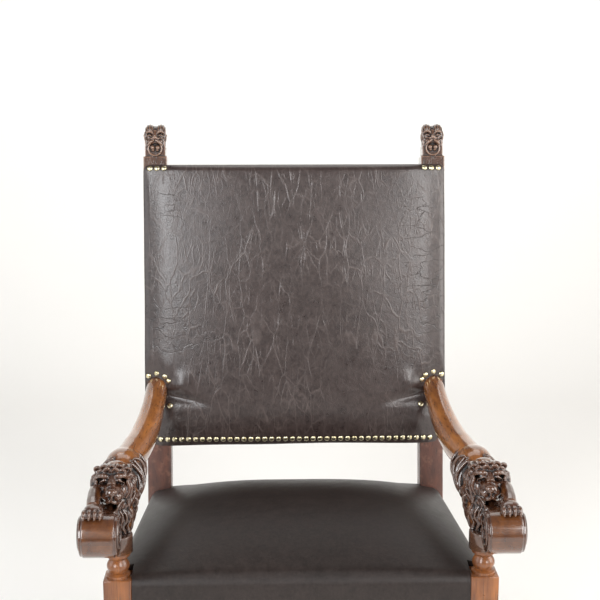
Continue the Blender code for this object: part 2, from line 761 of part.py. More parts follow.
def rear_post(collection):
    """The right rear post: leg, stile and lion-mask finial, carved from one stick."""
    post = rear_post_stick("right_rear_post", 0.0, collection)
    bevel = post.modifiers.new("chamfer", "BEVEL")
    bevel.width = POST_CHAMFER
    bevel.segments = 1
    bevel.limit_method = "ANGLE"
    settle(post)
    size = 0.1 * FINIAL_HEIGHT / FINIAL_DRAWN_HEIGHT
    foot = Vector((STILE_X + FINIAL_OUTSET, 0.0, 0.0))
    foot.y = stile_front_y(BACK_TOP_Z) + STILE_DEPTH / math.cos(BACK_LEAN) / 2
    foot.z = BACK_TOP_Z
    place = Matrix.Translation(foot) @ Matrix.Rotation(-BACK_LEAN, 4, "X")
    mask = carved("mask", bmesh.new(), finial_balls(), finial_locks(), finial_dents(), size, place,
                  FINIAL_VOXEL, 2, collection)
    coarsen(mask, FINIAL_FACES)
    half = FINIAL_WIDTH / 2
    base = chamfered_box("base", (-half, -half, -FINIAL_TENON), (half, half, FINIAL_NECK * size),
                         POST_CHAMFER, collection)
    put(base, place)
    combine(mask, base, "UNION")
    combine(post, mask, "UNION")
    return finish(post, DULL_WALNUT)


def lion_origin():
    """The middle of the arm's seat on its support."""
    return Vector((FRONT_POST_X, FRONT_POST_Y, ARM_SUPPORT_TOP))


def arm_route():
    """The arm's centre line from the stile to the lion's rump, as (point, radius)."""
    rump = lion_origin() + Vector((0.02, 1.28, 1.03)) * LION_SIZE
    joint = Vector((STILE_X + ARM_JOINT_OFFSET, 0.0, ARM_JOINT_Z))
    joint.y = stile_front_y(ARM_JOINT_Z) + ARM_JOINT_INSET
    radii = (ARM_REAR_RADIUS, ARM_REAR_RADIUS + 0.001, ARM_FRONT_RADIUS,
             ARM_FRONT_RADIUS + 0.0025, ARM_FRONT_RADIUS + 0.0015)
    drops = (0.0, 0.42, 0.80, 0.99, 1.0)
    route = []
    for i, radius in enumerate(radii):
        share = i / (len(radii) - 1)
        point = joint.lerp(rump, share)
        point.x = joint.x + (rump.x - joint.x) * share ** ARM_FLARE
        point.z = joint.z + (rump.z - joint.z) * drops[i]
        route.append((point, radius))
    return route


def toe_x(toe):
    """Where each of the paw's four toes lies across the arm."""
    return 0.29 + 0.086 * (toe - 1.5)


def lion_balls():
    """The lion's masses as (centre, radii), in tenths of a metre from the arm's seat."""
    balls = [
        ((0.02, 1.28, 1.03), (0.31, 0.46, 0.28)),
        ((-0.08, 1.08, 0.75), (0.28, 0.41, 0.21)),
        ((0.03, 0.78, 0.88), (0.32, 0.45, 0.33)),
        ((0.01, 0.34, 0.50), (0.26, 0.38, 0.50)),
        ((0.15, 0.30, 0.74), (0.25, 0.29, 0.28)),
        ((0.04, 0.42, 1.10), (0.29, 0.32, 0.30)),
        ((0.045, 0.00, 1.06), (0.155, 0.25, 0.15)),
        ((0.045, -0.22, 1.09), (0.11, 0.09, 0.07)),
        ((0.05, 0.14, 0.80), (0.11, 0.12, 0.07)),
        ((0.29, -0.60, 0.93), (0.165, 0.18, 0.11)),
        ((0.16, -0.30, 0.52), (0.22, 0.30, 0.32)),
        ((-0.25, 0.46, 0.66), (0.085, 0.06, 0.085)),
    ]
    for side in (1, -1):
        balls += [
            ((LION_FACE_X + 0.185 * side, 0.15, 1.00), (0.105, 0.18, 0.17)),
            ((LION_FACE_X + 0.130 * side, 0.02, 1.27), (0.070, 0.060, 0.050)),
            ((0.045 + 0.078 * side, -0.15, 1.00), (0.090, 0.095, 0.085)),
        ]
    for i in range(5):
        lean = (i - 2) / 2
        balls.append(((LION_FACE_X + 0.22 * lean, 0.06 + 0.05 * lean ** 2, 1.375 - 0.05 * lean ** 2),
                      (0.075, 0.070, 0.070)))
    for toe in range(4):
        balls.append(((toe_x(toe), -0.76, 0.925), (0.048, 0.090, 0.070)))
    return balls


def lion_locks():
    """The lion's brows, locks, foreleg and flank leaves, as (point, radius) in the same measure."""
    locks = [
        [((0.26, 0.52, 0.90), 0.155), ((0.305, 0.12, 1.00), 0.142), ((0.33, -0.24, 0.985), 0.118),
         ((0.305, -0.54, 0.935), 0.12)],
        [((0.06, 0.16, 1.34), 0.08), ((0.055, 0.00, 1.26), 0.062), ((0.048, -0.15, 1.17), 0.08)],
        [((-0.16, 0.96, 1.33), 0.026), ((-0.30, 1.06, 1.20), 0.034), ((-0.365, 1.06, 1.00), 0.034),
         ((-0.355, 0.92, 0.78), 0.032), ((-0.29, 0.62, 0.66), 0.03)],
    ]
    for side in (1, -1):
        brow = [((0.01, 0.00, 1.245), 0.034), ((0.13, -0.03, 1.30), 0.044),
                ((0.28, 0.09, 1.20), 0.034)]
        locks.append([((LION_FACE_X + x * side, y, z), radius) for (x, y, z), radius in brow])
        for row in range(3):
            back = 0.16 * row
            lock = [((0.15, 0.26 + back, 1.36), 0.068), ((0.275, 0.16 + back, 1.22), 0.072),
                    ((0.305, 0.11 + back, 1.04), 0.068), ((0.265, 0.07 + back, 0.86), 0.05)]
            locks.append([((LION_FACE_X + x * side, y, z), radius) for (x, y, z), radius in lock])
    for i in range(5):
        lean = (i - 2) / 2
        locks.append([((LION_FACE_X + 0.18 * lean, 0.72, 1.25), 0.07),
                      ((LION_FACE_X + 0.23 * lean, 0.45, 1.37 - 0.05 * lean ** 2), 0.075),
                      ((LION_FACE_X + 0.22 * lean, 0.20, 1.40 - 0.06 * lean ** 2), 0.055)])
    for i in range(4):
        shift = 0.066 * i
        locks.append([((-0.215 + 0.6 * shift, 0.34 - shift, 0.98), 0.058),
                      ((-0.245 + shift, 0.18 - shift, 0.84), 0.060),
                      ((-0.175 + shift, 0.11 - shift, 0.68), 0.056),
                      ((-0.220 + shift, 0.08 - shift, 0.50), 0.050),
                      ((-0.165 + shift, 0.05 - shift, 0.32), 0.040),
                      ((-0.170 + shift, 0.06 - shift, 0.16), 0.022)])
    for i in range(4):
        back = 0.19 * i
        locks.append([((-0.16, 0.84 + back, 1.18), 0.06), ((-0.305, 0.80 + back, 1.00), 0.066),
                      ((-0.325, 0.74 + back, 0.82), 0.056), ((-0.275, 0.66 + back, 0.66), 0.03)])
    for toe in range(4):
        locks.append([((toe_x(toe), -0.815, 0.91), 0.028), ((toe_x(toe), -0.865, 0.88), 0.024),
                      ((toe_x(toe), -0.875, 0.83), 0.01)])
    return locks


def lion_dents():
    """Eye sockets, nostrils and the open mouth: (centre, radii, push)."""
    inward = (0, 1, 0)
    dents = [((0.085, -0.04, 0.79), (0.10, 0.20, 0.075), inward)]
    for side in (1, -1):
        dents.append(((LION_FACE_X + 0.13 * side, -0.08, 1.165), (0.075, 0.12, 0.042), inward))
        dents.append(((0.045 + 0.055 * side, -0.31, 1.07), (0.028, 0.05, 0.022), inward))
    return dents


def scroll_roll():
    """The roll under the lion's paw and the pad that sits on the post, to fuse with the lion."""
    size = LION_SIZE
    bm = bmesh.new()
    turn = Matrix.Rotation(math.pi / 2, 4, "Y")
    place = Matrix.Translation(Vector((0.21, -0.57, 0.50)) * size) @ turn
    bmesh.ops.create_cone(bm, cap_ends=True, segments=32, radius1=0.35 * size,
                          radius2=0.35 * size, depth=0.62 * size, matrix=place)
    seat = Matrix.Translation(Vector((0, 0, 0.10)) * size)
    bmesh.ops.create_cone(bm, cap_ends=True, segments=32, radius1=0.25 * size,
                          radius2=0.25 * size, depth=0.40 * size, matrix=seat)
    return bm


def arm(collection):
    """The right arm: a round sloping shaft that ends in a lion with its paw on a roll."""
    origin = lion_origin()
    size = LION_SIZE
    shaft = [((point - origin) / size, radius / size) for point, radius in arm_route()]
    piece = carved("right_arm", scroll_roll(), lion_balls(), lion_locks() + [shaft], lion_dents(),
                   size, Matrix.Translation(origin), ARM_VOXEL, 2, collection)
    coarsen(piece, ARM_FACES)
    cut_flat(piece, origin + Vector((0, 0, GAP)), (0, 0, -1))
    normal = Matrix.Rotation(-BACK_LEAN, 3, "X") @ Vector((0, 1, 0))
    face = Vector((STILE_X, stile_front_y(ARM_JOINT_Z), ARM_JOINT_Z)) - normal * GAP
    cut_flat(piece, face, normal)
    return finish(piece, CARVED_WALNUT, CARVED_SHARP)


def build():
    clear_scene()
    chair = new_collection("lion_armchair")
    mirrored(rear_post(chair), "left_rear_post", PLAIN_SHARP, chair)
    mirrored(front_post(chair), "left_front_post", TURNED_SHARP, chair)
    mirrored(side_rail(chair), "left_seat_rail", PLAIN_SHARP, chair)
    mirrored(side_stretcher(chair), "left_stretcher", TURNED_SHARP, chair)
    mirrored(arm(chair), "left_arm", CARVED_SHARP, chair)
    cross_rails(chair)
    cross_stretcher(chair)
    back_upholstery(chair)
    seat_upholstery(chair)


build()
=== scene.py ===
"""The looks of the lion armchair: carved and polished walnut, creased leather, brass nails.

Metres, +Z up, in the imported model's own frame. The chair faces -Y. What stands on the
right (+X) is made once and mirrored.
"""

import math

import bmesh
import bpy
import numpy as np
from mathutils import Matrix, Vector, noise


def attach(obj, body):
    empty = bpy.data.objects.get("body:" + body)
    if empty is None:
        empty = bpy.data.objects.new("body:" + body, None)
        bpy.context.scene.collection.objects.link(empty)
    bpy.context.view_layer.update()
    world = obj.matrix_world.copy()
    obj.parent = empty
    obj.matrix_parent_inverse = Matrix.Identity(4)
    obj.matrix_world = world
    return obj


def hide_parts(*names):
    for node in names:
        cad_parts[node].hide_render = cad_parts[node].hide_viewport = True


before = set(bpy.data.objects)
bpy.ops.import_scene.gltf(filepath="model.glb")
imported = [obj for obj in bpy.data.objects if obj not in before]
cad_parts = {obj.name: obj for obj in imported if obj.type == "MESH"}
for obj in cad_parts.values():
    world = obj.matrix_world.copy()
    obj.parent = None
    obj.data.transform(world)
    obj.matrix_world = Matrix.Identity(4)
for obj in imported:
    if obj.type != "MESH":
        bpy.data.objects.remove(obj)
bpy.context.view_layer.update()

# The back, which leans
BACK_WIDTH = 0.580
BACK_HEIGHT = 0.527
BACK_BOTTOM_Z = 0.537
BACK_FRONT_Y = 0.160
BACK_LEAN = math.radians(10.5)
BACK_PADDING = 0.012
BACK_CROWN = 0.020
BACK_ROUNDING = 0.013
LEATHER = 0.004
BACK_LENGTH = BACK_HEIGHT / math.cos(BACK_LEAN)
BACK_TOP_Z = BACK_BOTTOM_Z + BACK_HEIGHT

# The rear posts
STILE_WIDTH = 0.045
STILE_DEPTH = 0.046
STILE_X = BACK_WIDTH / 2 - LEATHER - STILE_WIDTH / 2
BACK_THICK = BACK_PADDING + STILE_DEPTH + LEATHER
REAR_FOOT_SIDE = 0.038
REAR_FOOT_Y = 0.250
KNEE_Z = 0.380
REAR_LEG_SWEEP = 1.6
POST_CHAMFER = 0.003
FINIAL_HEIGHT = 0.076
FINIAL_WIDTH = 0.040
FINIAL_OUTSET = 0.0020

# The front posts and stretchers
FRONT_POST_X = 0.300
FRONT_POST_Y = -0.235
POST_HALF = 0.023
ARM_SUPPORT_TOP = 0.485
SEAT_RAIL_TOP = 0.430
SEAT_RAIL_HEIGHT = 0.075
SEAT_RAIL_THICK = 0.024
SEAT_RAIL_BOTTOM = SEAT_RAIL_TOP - SEAT_RAIL_HEIGHT
SEAT_RAIL_Z = SEAT_RAIL_TOP - SEAT_RAIL_HEIGHT / 2
FRONT_RAIL_SETBACK = 0.006
SIDE_RAIL_SETBACK = 0.018
REAR_RAIL_SETBACK = 0.013
BLOCK_MARGIN = 0.012
BLOCK_CHAMFER = 0.002
FOOT_HEIGHT = 0.046
FOOT_RADIUS = 0.027
LEG_RADIUS = 0.0195
LEG_NECK_RADIUS = 0.0135
SUPPORT_RADIUS = 0.0198
STRETCHER_Z = 0.155
STRETCHER_BLOCK_HEIGHT = 0.060
STRETCHER_RADIUS = 0.0155
STRETCHER_NECK_RADIUS = 0.0095
STRETCHER_END = 0.012
STRETCHER_BLOCK = 0.034
STRETCHER_BLOCK_LENGTH = 0.056
TURNED_STEPS = 48

# The seat
SEAT_CROWN = 0.068
SEAT_EDGE_RISE = 0.015
SEAT_SKIRT_BOTTOM = 0.366
SEAT_ROUNDING = 0.016
SEAT_SWELL = 1.84
SEAT_FLATNESS = 3.5

# The arms and their lions
ARM_JOINT_Z = 0.644
ARM_REAR_RADIUS = 0.0205
ARM_FRONT_RADIUS = 0.0245
ARM_FLARE = 1.8
ARM_JOINT_INSET = 0.010
ARM_JOINT_OFFSET = 0.003
LION_SIZE = 0.100
GAP = 0.0003
MERGE = 0.00001

# The nails
NAIL_RADIUS = 0.0058
NAIL_RISE = 0.0036
BACK_NAIL_PITCH = 0.0132

# How fine the carved skins are
BODY_VOXEL = 0.0024
ARM_VOXEL = 0.00112
ARM_TRIANGLES = 192000
FINIAL_VOXEL = 0.00058

WALL_COLOUR = (0.87, 0.855, 0.83)
ROOT = "root"


# Materials

def new_finish(name):
    """An empty procedural material and its shader."""
    made = bpy.data.materials.new(name)
    made.use_nodes = True
    return made, made.node_tree, made.node_tree.nodes["Principled BSDF"]


def add(tree, kind, inputs=None, **settings):
    """One node, with its settings and its inputs, which are values or other sockets."""
    node = tree.nodes.new(kind)
    for key, value in settings.items():
        setattr(node, key, value)
    for key, value in (inputs or {}).items():
        if isinstance(value, bpy.types.NodeSocket):
            tree.links.new(value, node.inputs[key])
        else:
            node.inputs[key].default_value = value
    return node


def placed(tree, scale=(1, 1, 1), turn=(0, 0, 0), shift=(0, 0, 0)):
    """Object coordinates, stretched, turned and moved."""
    coordinates = add(tree, "ShaderNodeTexCoord")
    mapping = add(tree, "ShaderNodeMapping", {
        "Vector": coordinates.outputs["Object"], "Scale": scale, "Rotation": turn, "Location": shift,
    })
    return mapping.outputs["Vector"]


def clouds(tree, vector, scale, detail=4.0, roughness=0.55, distortion=0.0):
    """A cloudy noise value."""
    node = add(tree, "ShaderNodeTexNoise", {
        "Vector": vector, "Scale": scale, "Detail": detail, "Roughness": roughness,
        "Distortion": distortion,
    })
    return node.outputs["Fac"]


def ramp(tree, factor, stops, interpolation="LINEAR"):
    """A colour ramp from (position, colour) stops; a bare number is a grey."""
    node = add(tree, "ShaderNodeValToRGB", {"Fac": factor})
    band = node.color_ramp
    band.interpolation = interpolation
    while len(band.elements) < len(stops):
        band.elements.new(0.5)
    for element, (position, colour) in zip(band.elements, stops):
        if isinstance(colour, (int, float)):
            colour = (colour, colour, colour)
        element.position = position
        element.color = (*colour, 1.0)
    return node.outputs["Color"]


def maths(tree, operation, first, second=0.0, third=0.0):
    """One sum on values or sockets."""
    node = tree.nodes.new("ShaderNodeMath")
    node.operation = operation
    for i, value in enumerate((first, second, third)):
        if isinstance(value, bpy.types.NodeSocket):
            tree.links.new(value, node.inputs[i])
        else:
            node.inputs[i].default_value = value
    return node.outputs[0]


def blended(tree, factor, first, second, mode="MIX"):
    """From the first colour to the second one by a factor."""
    node = tree.nodes.new("ShaderNodeMix")
    node.data_type = "RGBA"
    node.blend_type = mode
    for name, value in (("Factor", factor), ("A", first), ("B", second)):
        sockets = [s for s in node.inputs if s.name == name and s.enabled]
        socket = sockets[0]
        if isinstance(value, bpy.types.NodeSocket):
            tree.links.new(value, socket)
        elif isinstance(value, (int, float)):
            socket.default_value = value
        else:
            socket.default_value = (*value, 1.0)
    return next(s for s in node.outputs if s.enabled)


def bumped(tree, height, distance, strength=1.0, under=None):
    """A bump of a height, laid over the one under it."""
    inputs = {"Height": height, "Distance": distance, "Strength": strength}
    if under is not None:
        inputs["Normal"] = under
    return add(tree, "ShaderNodeBump", inputs).outputs["Normal"]


def crackle(tree, vector, width, warp=0.10):
    """A net of fine lines, like the creases in worn leather."""
    drift = add(tree, "ShaderNodeTexNoise", {"Vector": vector, "Scale": 1.3, "Detail": 2.0, "Roughness": 0.5})
    pushed = add(tree, "ShaderNodeVectorMath", {0: drift.outputs["Color"], 1: (0.5, 0.5, 0.5)},
                 operation="SUBTRACT")
    pushed = add(tree, "ShaderNodeVectorMath", {0: pushed.outputs[0], "Scale": warp * 4}, operation="SCALE")
    place = add(tree, "ShaderNodeVectorMath", {0: vector, 1: pushed.outputs[0]}, operation="ADD")
    cells = add(tree, "ShaderNodeTexVoronoi", {"Vector": place.outputs[0], "Scale": 1.0, "Randomness": 1.0},
                feature="DISTANCE_TO_EDGE")
    return ramp(tree, cells.outputs["Distance"], [(0.0, 1.0), (width, 0.0)])


def leather_finish(name, light, deep, crease_strength, roughness, gloss=0.5, mottling=0.25):
    """Dark grained leather with pale forking creases, dark cracks and fine pebbling."""
    made, tree, shader = new_finish(name)
    plain = placed(tree)
    patches = clouds(tree, plain, 5.0, 5.0, 0.6, 0.4)
    mottle = clouds(tree, plain, 60.0, 5.0, 0.65)
    speckle = clouds(tree, placed(tree, (190.0, 190.0, 120.0)), 1.0, 4.0, 0.7)
    base = blended(tree, ramp(tree, patches, [(0.30, 0.0), (0.70, 1.0)]), deep, light)
    base = blended(tree, maths(tree, "MULTIPLY", ramp(tree, mottle, [(0.36, 0.0), (0.64, 1.0)]), mottling),
                   base, (0.075, 0.052, 0.046))
    base = blended(tree, maths(tree, "MULTIPLY", ramp(tree, speckle, [(0.40, 0.0), (0.66, 1.0)]), mottling),
                   base, (0.080, 0.056, 0.050))
    where = clouds(tree, placed(tree, shift=(7.3, 2.2, 4.1)), 9.0, 4.0)
    strong = ramp(tree, where, [(0.38, 0.35), (0.64, 1.0)])
    narrow = clouds(tree, placed(tree, shift=(1.3, 5.2, 0.1)), 26.0, 4.0)
    there = ramp(tree, narrow, [(0.42, 0.0), (0.58, 1.0)])
    long = crackle(tree, placed(tree, (27.0, 6.0, 9.0), (0, 0.06, 0), (3.1, 0, 0)), 0.030)
    short = crackle(tree, placed(tree, (80.0, 14.0, 28.0), (0, -0.12, 0), (1.7, 0, 2.0)), 0.085)
    slant = crackle(tree, placed(tree, (30.0, 6.0, 12.0), (0, -0.35, 0), (9.7, 0, 2.0)), 0.035)
    pale = maths(tree, "MAXIMUM", maths(tree, "MULTIPLY", long, there),
                 maths(tree, "MULTIPLY", short, maths(tree, "MULTIPLY", there, 0.55)))
    pale = maths(tree, "MAXIMUM", pale, maths(tree, "MULTIPLY", slant, maths(tree, "MULTIPLY", strong, 0.7)))
    pale = maths(tree, "MULTIPLY", pale, strong)
    pale = maths(tree, "MULTIPLY", pale, crease_strength)
    cracks = crackle(tree, placed(tree, (16.0, 6.0, 34.0), (0, 0.18, 0), (5.2, 1.0, 7.7)), 0.020, 0.3)
    across = add(tree, "ShaderNodeSeparateXYZ", {"Vector": plain}).outputs["X"]
    near_edge = ramp(tree, maths(tree, "ABSOLUTE", across), [(0.13, 0.0), (0.24, 1.0)])
    other = ramp(tree, clouds(tree, placed(tree, shift=(1.7, 6.2, 9.4)), 6.0, 3.0),
                 [(0.44, 0.0), (0.58, 1.0)])
    dark = maths(tree, "MULTIPLY", maths(tree, "MULTIPLY", cracks, other), near_edge)
    dark = maths(tree, "MULTIPLY", dark, crease_strength)
    colour = blended(tree, pale, base, (0.105, 0.078, 0.070))
    colour = blended(tree, dark, colour, (0.006, 0.004, 0.004))
    tree.links.new(colour, shader.inputs["Base Color"])
    pebbles = add(tree, "ShaderNodeTexVoronoi", {"Vector": plain, "Scale": 620.0,
                                                "Randomness": 1.0}).outputs["Distance"]
    fine = clouds(tree, plain, 900.0, 2.0)
    worn = maths(tree, "ADD", maths(tree, "MULTIPLY", mottle, 0.16), roughness - 0.08)
    worn = maths(tree, "ADD", worn, maths(tree, "MULTIPLY", pale, 0.14))
    tree.links.new(worn, shader.inputs["Roughness"])
    shader.inputs["Specular IOR Level"].default_value = gloss
    normal = bumped(tree, pebbles, 0.00022, 0.55)
    normal = bumped(tree, fine, 0.00010, 0.5, normal)
    normal = bumped(tree, clouds(tree, plain, 95.0, 3.0), 0.0006, 0.5, normal)
    normal = bumped(tree, maths(tree, "SUBTRACT", pale, dark), 0.0007, 0.8, normal)
    tree.links.new(normal, shader.inputs["Normal"])
    return made


def wood_finish(name, light, deep, along, gloss, hollow_shade=0.85, ridge=0.0, wear=0.15,
                carved_colour=None, coat=0.35):
    """Walnut: streaks and pores along the grain, darker where the carving is richest, painted shade in the
    hollows and a painted highlight on the ridges.
    """
    made, tree, shader = new_finish(name)
    stretch = [38.0, 38.0, 38.0]
    stretch[along] = 3.2
    streaks = clouds(tree, placed(tree, stretch), 1.0, 6.0, 0.6, 0.7)
    stretch_fine = [420.0, 420.0, 420.0]
    stretch_fine[along] = 16.0
    pores = clouds(tree, placed(tree, stretch_fine), 1.0, 2.0, 0.5)
    patches = clouds(tree, placed(tree), 16.0, 4.0, 0.6)
    base = blended(tree, ramp(tree, streaks, [(0.32, 0.0), (0.68, 1.0)]), deep, light)
    base = blended(tree, maths(tree, "MULTIPLY", ramp(tree, patches, [(0.4, 0.0), (0.75, 1.0)]), 0.55),
                   base, deep)
    pits = ramp(tree, pores, [(0.30, 1.0), (0.42, 0.0)])
    base = blended(tree, maths(tree, "MULTIPLY", pits, 0.55), base, (0.010, 0.005, 0.003))
    relief = add(tree, "ShaderNodeAttribute", attribute_name="relief").outputs["Fac"]
    spread = maths(tree, "ADD", maths(tree, "MULTIPLY", relief, 0.5), 0.5)
    if carved_colour:
        # A darker, streaky tone where the carving is richest, weighted by the carved attribute.
        rich = add(tree, "ShaderNodeAttribute", attribute_name="carved").outputs["Fac"]
        rich = ramp(tree, rich, [(0.26, 0.0), (0.62, 1.0)])
        carved_darkening = blended(tree, maths(tree, "MULTIPLY", streaks, 0.6), carved_colour, deep)
        base = blended(tree, rich, base, carved_darkening)
    # Painted shade: a mask of the hollows, where the relief is low. Further down it darkens them to
    # near-black, takes off their coat and makes them rougher.
    hollow = ramp(tree, spread, [(0.28, 1.0), (0.49, 0.0)])
    # Painted highlight: a mask of the ridges, where the relief is high, which lightens them to a pale brown.
    ridge_highlight = ramp(tree, spread, [(0.58, 0.0), (0.85, 1.0)])
    colour = blended(tree, maths(tree, "MULTIPLY", ridge_highlight, ridge), base, (0.34, 0.20, 0.13))
    grime = clouds(tree, placed(tree, shift=(4.0, 8.0, 2.0)), 55.0, 5.0, 0.65)
    dust = maths(tree, "MULTIPLY", ramp(tree, grime, [(0.52, 0.0), (0.70, 1.0)]), wear)
    colour = blended(tree, dust, colour, (0.20, 0.095, 0.06))
    # Painted shade in the hollows: near-black, weighted by the hollow mask.
    colour = blended(tree, maths(tree, "MULTIPLY", hollow, hollow_shade), colour, (0.003, 0.002, 0.002))
    tree.links.new(colour, shader.inputs["Base Color"])
    rough = maths(tree, "ADD", gloss, maths(tree, "MULTIPLY", patches, 0.14))
    rough = maths(tree, "ADD", rough, maths(tree, "MULTIPLY", hollow, 0.30))
    tree.links.new(rough, shader.inputs["Roughness"])
    tree.links.new(maths(tree, "MULTIPLY", maths(tree, "SUBTRACT", 1.0, hollow), coat),
                   shader.inputs["Coat Weight"])
    shader.inputs["Coat Roughness"].default_value = 0.09
    normal = bumped(tree, pits, -0.00012, 0.8)
    normal = bumped(tree, streaks, 0.0005, 0.25, normal)
    normal = bumped(tree, clouds(tree, placed(tree), 150.0, 3.0), 0.0006, 0.35, normal)
    tree.links.new(normal, shader.inputs["Normal"])
    return made


def brass_finish(name):
    """Antique brass: domes bright on top, with painted shade, olive-dark, round the rim."""
    made, tree, shader = new_finish(name)
    relief = add(tree, "ShaderNodeAttribute", attribute_name="relief").outputs["Fac"]
    patches = clouds(tree, placed(tree), 260.0, 3.0, 0.6)
    bright = ramp(tree, patches, [(0.35, (0.46, 0.38, 0.20)), (0.65, (0.80, 0.74, 0.54))])
    # Painted shade: the dome's low rim is darkened to olive-dark, by the nail's height.
    colour = blended(tree, ramp(tree, relief, [(0.20, 1.0), (0.62, 0.0)]), bright, (0.045, 0.036, 0.012))
    tree.links.new(colour, shader.inputs["Base Color"])
    shader.inputs["Metallic"].default_value = 1.0
    rough = maths(tree, "ADD", 0.20, maths(tree, "MULTIPLY", patches, 0.2))
    tree.links.new(rough, shader.inputs["Roughness"])
    tree.links.new(bumped(tree, patches, 0.0003, 0.4), shader.inputs["Normal"])
    return made


def cloth_finish(name):
    """Plain black-brown lining cloth under the seat."""
    made, tree, shader = new_finish(name)
    threads = add(tree, "ShaderNodeTexChecker", {"Vector": placed(tree), "Scale": 900.0})
    colour = blended(tree, threads.outputs["Fac"], (0.020, 0.017, 0.015), (0.035, 0.030, 0.027))
    tree.links.new(colour, shader.inputs["Base Color"])
    shader.inputs["Roughness"].default_value = 0.92
    tree.links.new(bumped(tree, threads.outputs["Fac"], 0.0002, 0.4), shader.inputs["Normal"])
    return made


def plain_finish(name, colour, roughness):
    """One even colour."""
    made, _, shader = new_finish(name)
    shader.inputs["Base Color"].default_value = (*colour, 1.0)
    shader.inputs["Roughness"].default_value = roughness
    return made


# Meshes

def object_from(name, bm, finish, smooth=True):
    """An object from a bmesh, which is used up."""
    mesh = bpy.data.meshes.new(name)
    bm.to_mesh(mesh)
    bm.free()
    made = bpy.data.objects.new(name, mesh)
    bpy.context.scene.collection.objects.link(made)
    if finish:
        mesh.materials.append(finish)
    if smooth:
        mesh.shade_smooth()
    return made


def settle(obj):
    """Turn an object's modifiers into plain mesh."""
    bpy.context.view_layer.update()
    graph = bpy.context.evaluated_depsgraph_get()
    mesh = bpy.data.meshes.new_from_object(obj.evaluated_get(graph))
    obj.modifiers.clear()
    obj.data = mesh
    return obj


def joined(obj, other):
    """A boolean union of two closed pieces."""
    boolean = obj.modifiers.new("join", "BOOLEAN")
    boolean.operation = "UNION"
    boolean.solver = "EXACT"
    boolean.object = other
    settle(obj)
    bpy.data.objects.remove(other, do_unlink=True)
    return obj


def plain_box(low, high, finish):
    """A sharp-edged box, to cut with."""
    low = Vector(low)
    high = Vector(high)
    bm = bmesh.new()
    bmesh.ops.create_cube(bm, size=1.0)
    bmesh.ops.scale(bm, vec=high - low, verts=bm.verts)
    bmesh.ops.translate(bm, vec=(high + low) / 2, verts=bm.verts)
    return object_from("block", bm, finish)


def cut(obj, tool):
    """A boolean difference; the cut faces take the tool's finish."""
    boolean = obj.modifiers.new("cut", "BOOLEAN")
    boolean.operation = "DIFFERENCE"
    boolean.solver = "EXACT"
    boolean.material_mode = "TRANSFER"
    boolean.object = tool
    settle(obj)
    bpy.data.objects.remove(tool, do_unlink=True)
    return obj


def mirrored(obj, name):
    """The left-hand twin of a right-hand piece."""
    bm = bmesh.new()
    bm.from_mesh(obj.data)
    bmesh.ops.transform(bm, matrix=Matrix.Scale(-1.0, 4, (1, 0, 0)), verts=bm.verts)
    bmesh.ops.reverse_faces(bm, faces=bm.faces)
    twin = object_from(name, bm, obj.data.materials[0])
    for finish in obj.data.materials[1:]:
        twin.data.materials.append(finish)
    return twin


def stand_for(obj, *nodes):
    """The piece rides on the chair and takes the place of CAD nodes."""
    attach(obj, ROOT)
    if nodes:
        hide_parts(*nodes)
    return obj


def mark_relief(obj, rings, reach):
    """Store how far each vertex stands out of its smoothed surroundings, from -1 to 1, and
    how richly carved those surroundings are, from 0 to 1."""
    mesh = obj.data
    count = len(mesh.vertices)
    where = np.empty(count * 3)
    mesh.vertices.foreach_get("co", where)
    where = where.reshape(-1, 3)
    ends = np.empty(len(mesh.edges) * 2, dtype=np.int64)
    mesh.edges.foreach_get("vertices", ends)
    ends = ends.reshape(-1, 2)
    first = np.concatenate((ends[:, 0], ends[:, 1]))
    second = np.concatenate((ends[:, 1], ends[:, 0]))
    links = np.maximum(np.bincount(first, minlength=count), 1)

    def spread(values, rounds):
        for _ in range(rounds):
            values = np.stack([
                np.bincount(first, weights=column[second], minlength=count) / links
                for column in values.T
            ], axis=1)
        return values

    normals = np.empty(count * 3)
    mesh.vertices.foreach_get("normal", normals)
    rise = np.einsum("ij,ij->i", where - spread(where, rings), normals.reshape(-1, 3)) / reach
    rich = spread(np.abs(rise)[:, None], rings * 2)[:, 0] * 3.0
    for name, values, low in (("relief", rise, -1.0), ("carved", rich, 0.0)):
        store = mesh.attributes.new(name, "FLOAT", "POINT")
        store.data.foreach_set("value", np.clip(values, low, 1.0))


def lean_matrix():
    """From the back's own frame (across, into the back, up along it) to the chair's."""
    place = Matrix.Translation((0, BACK_FRONT_Y, BACK_BOTTOM_Z))
    return place @ Matrix.Rotation(-BACK_LEAN, 4, "X")


def stile_front_y(z):
    """The stiles' front face at a height."""
    leather_y = BACK_FRONT_Y + (z - BACK_BOTTOM_Z) * math.tan(BACK_LEAN)
    return leather_y + BACK_PADDING / math.cos(BACK_LEAN)


def rear_leg_centre(z):
    """The rear legs' middle at a height; below the knee they sweep back."""
    knee_y = stile_front_y(KNEE_Z) + STILE_DEPTH / math.cos(BACK_LEAN) / 2
    share = max(0.0, (KNEE_Z - z) / KNEE_Z)
    return knee_y + (REAR_FOOT_Y - knee_y) * share ** REAR_LEG_SWEEP


def oriented(start, end):
    """A frame at the start of an axis, with its Z along the axis and its Y near up."""
    along = (Vector(end) - Vector(start)).normalized()
    side = Vector((0, 0, 1)).cross(along).normalized()
    up = along.cross(side)
    turn = Matrix((side, up, along)).transposed().to_4x4()
    return Matrix.Translation(start) @ turn


# Turned wood

